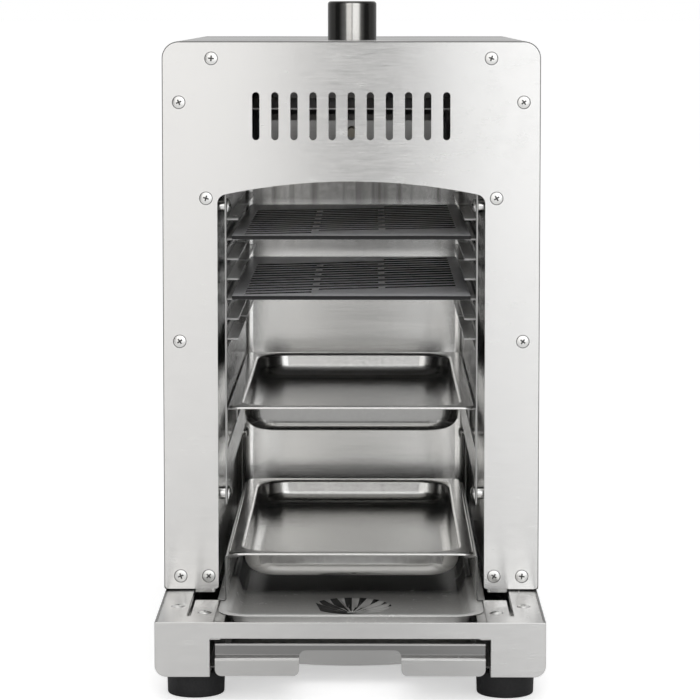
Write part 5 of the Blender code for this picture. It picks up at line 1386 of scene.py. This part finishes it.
class GRILL_OT_liner(bpy.types.Operator):
    """Bend the polished walls of the cooking chamber"""
    bl_idname = "grill.liner"
    bl_label = "Chamber liner"

    def execute(self, context):
        low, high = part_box("chamber_liner")
        sheet, corner = 0.001, 0.014
        skin = sheet / 2
        front, back = low.y + skin, high.y - skin
        half = 0.0985 - skin
        path = [(low.x, front), (-half, front), (-half, back),
                (half, back), (half, front), (high.x, front)]
        path = rounded(path, [0, 0.0015, corner, corner, 0.0015, 0], 14, closed=False)
        made = bent_sheet("liner_walls", path, "Z", low.z, high.z, sheet, 0.0002)
        dress(made, "polished_steel", "frame", "chamber_liner", finish="heated_liner")
        return {"FINISHED"}


class GRILL_OT_roof(bpy.types.Operator):
    """Cut the chamber's roof and the guard grille under the burner"""
    bl_idname = "grill.roof"
    bl_label = "Roof and flame guard"

    def execute(self, context):
        low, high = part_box("chamber_roof")
        tile_low, tile_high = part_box("burner_tile")
        bearing = 0.003
        window = rectangle((tile_low.x + bearing, tile_low.y + bearing),
                           (tile_high.x - bearing, tile_high.y - bearing))
        outline = rectangle((low.x, low.y), (high.x, high.y))
        made = cut_sheet("roof_sheet", [outline, rounded(window, 0.002, 6)], high.z - low.z, "Z",
                         (low.z + high.z) / 2, look("satin_steel"))
        dress(made, "satin_steel", "frame", "chamber_roof")
        low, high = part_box("burner_grille")
        bars, number = 0.0035, 10
        run = (high.y - low.y - bars) / number
        first = (0, low.y + bars + (run - bars) / 2, 0)
        made = cut_sheet(
            "flame_guard", [rectangle((low.x, low.y), (high.x, high.y))], high.z - low.z, "Z",
            (low.z + high.z) / 2, look("satin_steel"), 0.0004, slot_count=number,
            slot_pitch=(0, run, 0), first_slot=first, slot_width=high.x - low.x - 2 * bars,
            slot_height=run - bars,
        )
        dress(made, "satin_steel", "frame", "burner_grille")
        return {"FINISHED"}


class GRILL_OT_racks(bpy.types.Operator):
    """Cut the side racks and bend their ledges, and bend the pan rails below them"""
    bl_idname = "grill.racks"
    bl_label = "Racks and pan rails"

    def execute(self, context):
        r = sizes("racks")
        for side, sign in SIDES.items():
            low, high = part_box(f"rack_{side}")
            start, end = low.y, high.y
            bottom = low.z + r.tab_drop
            run = (end - start - r.margin) / 2
            windows = [(start + r.margin + index * run, start + (index + 1) * run) for index in (0, 1)]
            edge = [(start, low.z), (start + r.tab_length, low.z), (start + r.tab_length, bottom),
                    (end, bottom), (end, high.z), (start, high.z)]
            outlines = [rounded(edge, [0.002, 0.002, 0.0015, 0.003, 0.003, 0.003], 5)]
            levels = [(r.first - index * r.pitch, r.window) for index in range(r.levels)]
            levels.append((r.low, r.low_window))
            for height, drop in levels:
                for front, back in windows:
                    hole = rectangle((front, height - drop), (back, height - r.sheet * 0.4))
                    outlines.append(rounded(hole, 0.0006, 3))
            outer = reach_of(low, high)[1]
            web = outer - r.sheet / 2
            plate = cut_sheet("rack_plate", outlines, r.sheet, "X", sign * web, look("satin_steel"), 0.0)
            reach = r.reach + r.sheet
            across = sign * (outer - reach / 2)
            for first, number in ((r.first, r.levels), (r.low, 1)):
                spot = (across, (windows[0][0] + windows[0][1]) / 2, first - r.sheet / 2)
                run_tree(
                    plate, tree_named("bent_ledges"), levels=number, level_pitch=r.pitch, windows=2,
                    window_pitch=run, first_ledge=spot, ledge_reach=reach,
                    ledge_length=windows[0][1] - windows[0][0] - 0.0004, sheet=r.sheet,
                    material=look("satin_steel"),
                )
            settle(plate)
            plate.name = f"rack_plate_{side}"
            # Painted shade: the plates' front and rear edges half dark and their side faces nearly black, as
            # the shade in the gap behind them
            plate = mark_painted_shade(soften(plate, 0.0003), 0.50, lambda _, normal: abs(normal.y) > 0.4)
            mark_painted_shade(plate, 0.90, lambda _, normal: abs(normal.x) > 0.5)
            dress(plate, "satin_steel", "frame", f"rack_{side}", finish="rack_bright")
            made = z_rail(f"pan_rail_sheet_{side}", f"pan_rail_{side}", sign, 0.006, 0.0012, 6, r.sheet)
            # Painted shade on the rail's front faces
            mark_painted_shade(made, 0.85)
            dress(made, "satin_steel", "frame", f"pan_rail_{side}", finish="rack_bright")
        return {"FINISHED"}


class GRILL_OT_grates(bpy.types.Operator):
    """Punch the two grates and fold their edges down"""
    bl_idname = "grill.grates"
    bl_label = "Grates"

    def execute(self, context):
        g = sizes("grates")
        for level in ("upper", "lower"):
            low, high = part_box(f"grate_{level}")
            length_y = high.y - low.y
            edge = rectangle((low.x, 0), (high.x, length_y))
            hollow = rectangle((low.x + g.sheet, g.sheet), (high.x - g.sheet, length_y - g.sheet))
            rim = cut_sheet("rim", [edge, hollow], high.z - low.z - g.sheet / 2, "Z",
                            -(high.z - low.z) / 2 + g.sheet / 4, look("grate_steel"), 0.0)
            run_tree(
                rim, tree_named("slotted_grate"), width=high.x - low.x, length=length_y,
                rows=g.rows, slot_width=g.slot, slope=g.slope, margin=g.margin, sheet=g.sheet,
                material=look("grate_steel"),
            )
            settle(rim, Matrix.Translation((0, low.y, high.z - g.sheet / 2)))
            rim.name = f"{level}_grate_sheet"
            # Painted shade: the upright faces, the slot walls and turned-down edges, are painted black
            made = mark_painted_shade(soften(rim, 0.0003), 1.0, lambda _, normal: abs(normal.z) < 0.6)
            dress(made, "grate_steel", f"{level}_grate", f"grate_{level}")
        return {"FINISHED"}


class GRILL_OT_pans(bpy.types.Operator):
    """Press the two shallow pans with their rolled rims"""
    bl_idname = "grill.pans"
    bl_label = "Pans"

    def execute(self, context):
        p = sizes("pans")
        skin = p.sheet / 2
        for level in ("upper", "lower"):
            low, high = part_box(f"pan_{level}")
            middle = middle_of(f"pan_{level}").xy
            half_x, half_y = high.x - middle.x - skin, high.y - middle.y - skin
            rim, floor = high.z - skin, low.z + skin
            wall = half_x - p.rim
            roll, throat = 0.0009, 0.0022
            profile = [(half_x, high.z - p.lip), (half_x, rim), (wall, rim),
                       (wall - p.lean, floor), (wall - p.lean - 0.02, floor)]
            profile = rounded(profile, [0, roll, throat, p.fillet, 0], 8, closed=False)
            rings = []
            for across, height in profile:
                inset = half_x - across
                blend = min(1.0, max(0.0, inset / p.rim))
                corner = p.outer + (p.inner - p.outer) * blend - max(0.0, inset - p.rim - p.lean)
                rings.append(ring(half_x - inset, half_y - inset, max(0.003, corner), height, middle, 12))
            made = lofted(f"{level}_pan_shell", rings, p.sheet)
            # Painted shade: the upper pan's front wall below the rim is painted darker, as the shade under
            # the rim
            if level == "upper":
                mark_painted_shade(made, 0.45, lambda centre, normal: normal.y < -0.6 and centre.y < low.y + 0.02
                       and centre.z < rim - 0.002 and abs(normal.z) < 0.4)
            dress(made, "polished_steel", f"{level}_pan", f"pan_{level}", finish="pressed_pan")
        return {"FINISHED"}


class GRILL_OT_drip_floor(bpy.types.Operator):
    """Press the drip floor with its fluted drain"""
    bl_idname = "grill.drip_floor"
    bl_label = "Drip floor"

    def execute(self, context):
        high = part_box("drip_floor")[1]
        sheet = PRESSED_SHEET
        skin = sheet / 2
        middle = middle_of("drip_floor").xy
        half_x, half_y = high.x - middle.x, high.y - middle.y
        rim, floor = high.z - skin, high.z - skin - 0.0122
        profile = [(half_x, rim), (half_x - 0.008, rim), (half_x - 0.0125, floor),
                   (half_x - 0.030, floor)]
        profile = rounded(profile, [0, 0.0045, 0.004, 0], 8, closed=False)
        rings = []
        for across, height in profile:
            inset = half_x - across
            corner = 0.022 - min(0.008, inset) if inset < 0.0125 else max(0.006, 0.0265 - inset)
            rings.append(ring(half_x - inset, half_y - inset, corner, height, middle, 15))
        number = len(rings[0])
        drain = (0.0, -0.0899)
        wide, narrow, deep, flutes, swell = 0.0292, 0.0035, 0.005, 16, 0.0026
        stations = 14
        for step in range(stations + 1):
            reach = 1 - step / stations
            radius = narrow + (wide - narrow) * reach
            dip = deep * (1 - reach) ** 0.9
            ripple = swell * math.sin(math.pi * min(0.98, 1.5 * (1 - reach))) ** 0.8 if step else 0.0
            ripple = min(ripple, deep - dip + 0.0001)
            loop = []
            for index in range(number * 4):
                a = math.tau * index / (number * 4) - 3 * math.pi / 4
                wave = ripple * (0.5 - 0.5 * math.cos(flutes * a))
                loop.append((drain[0] + radius * math.cos(a), drain[1] + radius * math.sin(a),
                             floor - dip - wave))
            rings.append(loop)

        def in_flute(centre, _):
            across, along = centre.x - drain[0], centre.y - drain[1]
            reach = math.hypot(across, along)
            return narrow < reach < wide and math.sin(flutes * math.atan2(along, across)) > -0.1

        made = self.floor_mesh(rings, number)
        thicken(made, sheet, even=False)
        settle(made)
        # Painted shade: the faces in the drain's flutes are painted almost black
        made = mark_painted_shade(soften(made, 0.0), 0.93, in_flute)
        dress(made, "polished_steel", "frame", "drip_floor", finish="drip_steel")
        return {"FINISHED"}

    def floor_mesh(self, rings, number):
        """Joins the level rings of the tray to the four times finer rings of the drain."""
        shape = bmesh.new()
        loops = [[shape.verts.new(spot) for spot in points] for points in rings]
        for outer, inner in zip(loops, loops[1:]):
            ratio = len(inner) // len(outer)
            for index in range(len(outer)):
                after = (index + 1) % len(outer)
                fine = [inner[(index * ratio + step) % len(inner)] for step in range(ratio, -1, -1)]
                shape.faces.new([outer[index], outer[after]] + fine)
        bmesh.ops.recalc_face_normals(shape, faces=shape.faces)
        mesh = bpy.data.meshes.new("drip_tray")
        shape.to_mesh(mesh)
        shape.free()
        return new_object("drip_tray", mesh)


class GRILL_OT_drawer(bpy.types.Operator):
    """Bend the drawer's front, press its tray and bend its runners"""
    bl_idname = "grill.drawer"
    bl_label = "Grease drawer"

    def execute(self, context):
        d = sizes("drawer")
        low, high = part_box("drawer_front")
        sheet = SATIN_SHEET
        skin = sheet / 2
        face, foot, top = low.y + skin, low.z, high.z - skin
        lip = foot + d.lip
        path = [(face, foot), (face, lip), (face + d.slope, lip + d.slope / 2),
                (face + d.slope, top), (face + d.slope - d.hem, top)]
        path = rounded(path, [0, 0.0016, 0.0016, 0.0007, 0], 6, closed=False)
        finger, flare = d.finger / 2, d.finger / 2 + 2 * d.finger_round
        below, brink, ceiling = foot - 0.002, foot - 0.0001, foot + d.finger_height
        outline = [(-flare, below), (flare, below), (flare, brink), (finger, brink),
                   (finger, ceiling), (-finger, ceiling), (-finger, brink), (-flare, brink)]
        radii = [0, 0, 0] + [d.finger_round] * 4 + [0]
        tools = [self.prism("finger_notch", rounded(outline, radii, 10), face - 0.004, face + 0.010)]
        for sign in SIDES.values():
            out, run = high.x, d.finger_round
            corner = [(out + 0.002, below), (out + 0.002, foot + run), (out, foot + run)]
            corner += [(out - run + run * math.cos(a), foot + run - run * math.sin(a))
                       for a in [QUARTER * step / 8 for step in range(1, 9)]]
            corner.append((out - run, below))
            points = [(sign * x, z) for x, z in corner]
            tools.append(self.prism("lip_corner", points, face - 0.004, face + 0.0025))
        front = bent_sheet("drawer_face", path, "X", low.x, high.x, sheet, 0.00022, tools)
        plate_half = finger + 0.004
        plate_low, plate_top = foot + 0.0062, foot + d.finger_height + 0.002
        shares = [2 * step / 16 - 1 for step in range(17)]
        outline = [(plate_half * share, plate_low + d.bow * share * share) for share in shares]
        outline += [(plate_half, plate_top), (-plate_half, plate_top)]
        plate = cut_sheet("finger_plate", [outline], sheet, "Y", face + d.slope + sheet - 0.0004,
                          look("brushed_steel"))
        # Painted shade: the front faces a little darker, the upper strip and the finger plate darker still
        mark_painted_shade(front, 0.28)
        mark_painted_shade(front, 0.68, lambda centre, normal: normal.y < -0.5 and centre.z > lip + 0.001
               and centre.z < top - 0.001)
        mark_painted_shade(plate, 0.46, lambda *_: True)
        made = merged("drawer_face", front, plate)
        dress(made, "brushed_steel", "drawer", "drawer_front")
        self.tray()
        self.runners()
        return {"FINISHED"}

    def prism(self, name, outline, start, end):
        """A block whose outline is drawn on the front and runs from start to end."""
        number = len(outline)
        spots = [(x, y, z) for y in (start, end) for x, z in outline]
        faces = [tuple(range(number)), tuple(range(2 * number - 1, number - 1, -1))]
        faces += [(i, (i + 1) % number, (i + 1) % number + number, i + number) for i in range(number)]
        return welded(mesh_object(name, spots, (), faces))

    def tray(self):
        """The bowl behind the drawer's front, with its flat rim and its notch."""
        low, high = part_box("drawer_tray")
        sheet, lip = 0.001, 0.004
        skin = sheet / 2
        middle = (0, (low.y + high.y) / 2)
        rim, floor = high.z - skin, low.z + skin
        bowl_start, bowl_end = low.y + 0.0554, high.y - lip
        bowl = (0, (bowl_start + bowl_end) / 2)
        wall, wall_y = high.x - lip, (bowl_end - bowl_start) / 2
        round_off = 0.004
        rings = [ring(high.x, (high.y - low.y) / 2, round_off, rim, middle)]
        profile = rounded([(0.0015, rim), (0.0, rim), (-0.0015, floor), (-0.006, floor)],
                          [0, 0.0006, 0.0025, 0], 6, closed=False)
        for across, height in profile:
            corner = max(0.0005, round_off + min(0, across) * 0.5)
            rings.append(ring(wall + across, wall_y + across, corner, height, bowl))
        made = lofted("drawer_bowl", rings, sheet, edge=0.0)
        notch = block("tray_notch", (-0.040, low.y - 0.002, rim - 0.0025),
                      (0.040, bowl_start - lip, rim + 0.002))
        drill(made, notch)
        dress(soften(made, 0.00015, 1, 60), "satin_steel", "drawer", "drawer_tray")

    def runners(self):
        """The two rails that carry the drawer."""
        for side, sign in SIDES.items():
            made = z_rail(f"runner_sheet_{side}", f"drawer_runner_{side}", sign,
                          0.0045, 0.001, 5, SATIN_SHEET)
            # Painted shade on the runner's front faces
            mark_painted_shade(made, 0.92)
            dress(made, "satin_steel", "frame", f"drawer_runner_{side}")


class GRILL_OT_knob(bpy.types.Operator):
    """Turn the metal knob with its soft edge and engraved pointer"""
    bl_idname = "grill.knob"
    bl_label = "Control knob"

    def execute(self, context):
        low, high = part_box("control_knob")
        middle = (low + high) / 2
        radius, edge = (high.x - low.x) / 2, 0.0022
        bore, ceiling = radius - 0.003, high.z - 0.004
        profile = [(0, high.z - 0.00025), (radius, high.z), (radius, low.z), (bore, low.z),
                   (bore, ceiling), (0, ceiling)]
        profile = rounded(profile, [0, edge, 0.0004, 0.0004, 0.001, 0], 10, closed=False)
        made = turned("knob_cap", profile, 128, (middle.x, middle.y, 0))
        line, start = 0.0006, middle.y - radius + 0.0035
        groove = block("pointer", (middle.x - line, start, high.z - line),
                       (middle.x + line, start + 0.007, high.z + 0.001))
        drill(made, groove)
        dress(soften(made, 0.0001, 2, 50), "gunmetal", "knob", "control_knob")
        return {"FINISHED"}


class GRILL_OT_gas_fitting(bpy.types.Operator):
    """Turn the threaded gas fitting with its hexagon"""
    bl_idname = "grill.gas_fitting"
    bl_label = "Gas fitting"

    def execute(self, context):
        low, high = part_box("gas_inlet")
        middle = (low + high) / 2
        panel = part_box("rear_panel")[1].y
        nipple, collar, flange, bore, step = 0.0045, 0.0058, 0.0108, 0.0026, panel + 0.009
        turns, start, bottom = 9, high.y - 0.0008, high.y - 0.006
        run = (start - step - 0.0006) / turns
        profile = [(0, bottom), (bore, bottom), (bore, high.y), (nipple - 0.0009, high.y)]
        for index in range(turns):
            at = start - index * run
            profile += [(nipple - 0.0005, at), (nipple, at - run * 0.35), (nipple, at - run * 0.5)]
        outside, inside = panel - 0.0020, panel - 0.0060
        profile += [(nipple - 0.0006, step), (collar, step), (collar, outside), (flange, outside),
                    (flange, inside), (nipple, inside), (nipple, low.y), (0, low.y)]
        facing = (middle.x, 0, middle.z), (-QUARTER, 0, 0)
        stem = soften(turned("stem", profile, 48, *facing), 0.00015, 2, 40)
        flat, near, far = 0.0070, panel + 0.0016, step - 0.0004
        hexagon = turned("hexagon", [(0, far), (flat, far), (flat, near), (0, near)], 6, *facing)
        hexagon = soften(hexagon, 0.0005, 3, 30)
        made = merged("gas_fitting", stem, hexagon)
        dress(made, "brass", "frame", "gas_inlet")
        return {"FINISHED"}


class GRILL_OT_studio(bpy.types.Operator):
    """Set up the pale floor, the soft lights, the dark flag and the camera"""
    bl_idname = "grill.studio"
    bl_label = "Studio"

    def execute(self, context):
        s = sizes("studio")
        context.scene.view_settings.view_transform = "Standard"
        self.floor(s)
        self.surroundings(context, s)
        for name, place, size, level, tint in (
            ("soft_box_left", (-0.705, -2.80, 1.05), (1.30, 2.1), s.key * 0.67, (1.0, 0.985, 0.965)),
            ("soft_box_right", (0.93, -2.80, 1.05), (1.75, 2.1), s.key * 0.98, (0.985, 0.992, 1.0)),
            ("soft_box_top", (0.0, -0.5, 2.8), (2.4, 2.4), s.top, (1.0, 1.0, 1.0)),
        ):
            self.soft_box(name, place, size, level, tint)
        half, deep = s.flag / 2, -2.62
        self.flag("flag_middle", [(-half, deep), (half, deep)], 0.0, 2.6, 0.03)
        self.flag("flag_left", [(-1.30, -2.55), (-2.60, -0.20)], 0.0, 2.4, s.card)
        self.flag("flag_right", [(1.95, -2.30), (2.60, -0.20)], 0.0, 2.4, s.card)
        self.camera(context, s)
        return {"FINISHED"}

    def soft_box(self, name, place, size, level, tint):
        data = bpy.data.lights.new(name, "AREA")
        data.shape = "RECTANGLE"
        data.size, data.size_y = size
        data.energy = level * math.pi * size[0] * size[1]
        data.color = tint
        made = bpy.data.objects.new(name, data)
        bpy.context.scene.collection.objects.link(made)
        made.location = place
        aim = Vector((0, 0, 0.25)) - Vector(place)
        made.rotation_euler = aim.to_track_quat("-Z", "Y").to_euler()

    def floor(self, s):
        reach = 200.0
        made = mesh_object("studio_floor", [(-reach, -reach, 0), (reach, -reach, 0), (reach, reach, 0),
                                            (-reach, reach, 0)], (), [(0, 1, 2, 3)])
        look_floor = bpy.data.materials.new("studio_floor_paint")
        look_floor.use_nodes = True
        tree = look_floor.node_tree
        shader = tree.nodes["Principled BSDF"]
        place = node(tree, "ShaderNodeTexCoord").outputs["Object"]
        mottle = noise(tree, place, 3.0, 3.0)
        tint = shade_between(tree, mottle, scaled(s.floor, 0.99), scaled(s.floor, 1.01))
        tree.links.new(tint, shader.inputs["Base Color"])
        shader.inputs["Roughness"].default_value = 0.9
        shader.inputs["Specular IOR Level"].default_value = 0.1
        seen = node(tree, "ShaderNodeLightPath").outputs["Is Camera Ray"]
        lift = times(tree, seen, 0.50)
        shader.inputs["Emission Color"].default_value = (1, 1, 1, 1)
        tree.links.new(lift, shader.inputs["Emission Strength"])
        made.data.materials.append(look_floor)

    def flag(self, name, ends, low, high, paint):
        """A dark card that only reflections see, as photographers put beside bright metal."""
        (x, y), (x_end, y_end) = ends
        made = mesh_object(name, [(x, y, low), (x_end, y_end, low), (x_end, y_end, high), (x, y, high)],
                           (), [(0, 1, 2, 3)])
        cloth = bpy.data.materials.new(f"{name}_cloth")
        cloth.use_nodes = True
        shader = cloth.node_tree.nodes["Principled BSDF"]
        shader.inputs["Base Color"].default_value = (paint, paint, paint, 1)
        shader.inputs["Roughness"].default_value = 0.9
        made.data.materials.append(cloth)
        made.visible_camera = False
        made.visible_shadow = False
        made.visible_diffuse = False

    def surroundings(self, context, s):
        world = bpy.data.worlds.new("studio")
        world.use_nodes = True
        context.scene.world = world
        tree = world.node_tree
        sky = tree.nodes["Background"]
        path = node(tree, "ShaderNodeLightPath").outputs
        mirrored = times(tree, path["Is Glossy Ray"], s.mirrored)
        seen = plus(tree, path["Is Camera Ray"], mirrored, True)
        seen = plus(tree, seen, path["Is Transmission Ray"], True)
        level = node(tree, "ShaderNodeMapRange", {"Value": seen, "To Min": s.fill, "To Max": 1.0})
        tree.links.new(level.outputs["Result"], sky.inputs["Strength"])
        sky.inputs["Color"].default_value = (1, 1, 1, 1)

    def camera(self, context, s):
        data = bpy.data.cameras.new("camera")
        data.lens = s.lens
        data.sensor_width = 36
        data.clip_end = 100
        data.shift_y = -s.drop
        made = bpy.data.objects.new("camera", data)
        context.scene.collection.objects.link(made)
        made.location = s.place
        made.rotation_euler = (Vector(s.aim) - Vector(s.place)).to_track_quat("-Z", "Y").to_euler()
        context.scene.camera = made


OPERATORS = (
    GRILL_OT_finishes,
    GRILL_OT_front_sheet,
    GRILL_OT_rear_sheet,
    GRILL_OT_casing,
    GRILL_OT_base,
    GRILL_OT_corner_plates,
    GRILL_OT_screws,
    GRILL_OT_rack_bolts,
    GRILL_OT_feet,
    GRILL_OT_liner,
    GRILL_OT_roof,
    GRILL_OT_racks,
    GRILL_OT_grates,
    GRILL_OT_pans,
    GRILL_OT_drip_floor,
    GRILL_OT_drawer,
    GRILL_OT_knob,
    GRILL_OT_gas_fitting,
    GRILL_OT_studio,
)


class GRILL_PT_pieces(bpy.types.Panel):
    """Lists the grill's pieces and its studio"""
    bl_idname = "GRILL_PT_pieces"
    bl_label = "Infrared gas grill"
    bl_space_type = "VIEW_3D"
    bl_region_type = "UI"
    bl_category = "Grill"

    def draw(self, context):
        for operator in OPERATORS:
            self.layout.operator(operator.bl_idname)


def register():
    for name, group in GROUPS.items():
        bpy.utils.register_class(group)
        setattr(bpy.types.Scene, name, bpy.props.PointerProperty(type=group))
    for item in (*OPERATORS, GRILL_PT_pieces):
        bpy.utils.register_class(item)


def unregister():
    for item in reversed((*OPERATORS, GRILL_PT_pieces)):
        bpy.utils.unregister_class(item)
    for name, group in reversed(GROUPS.items()):
        delattr(bpy.types.Scene, name)
        bpy.utils.unregister_class(group)


def main():
    """Builds the whole scene, stage by stage."""
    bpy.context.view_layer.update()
    register()
    for operator in OPERATORS:
        getattr(bpy.ops.grill, operator.bl_idname.split(".")[1])()


if __name__ == "__main__":
    main()
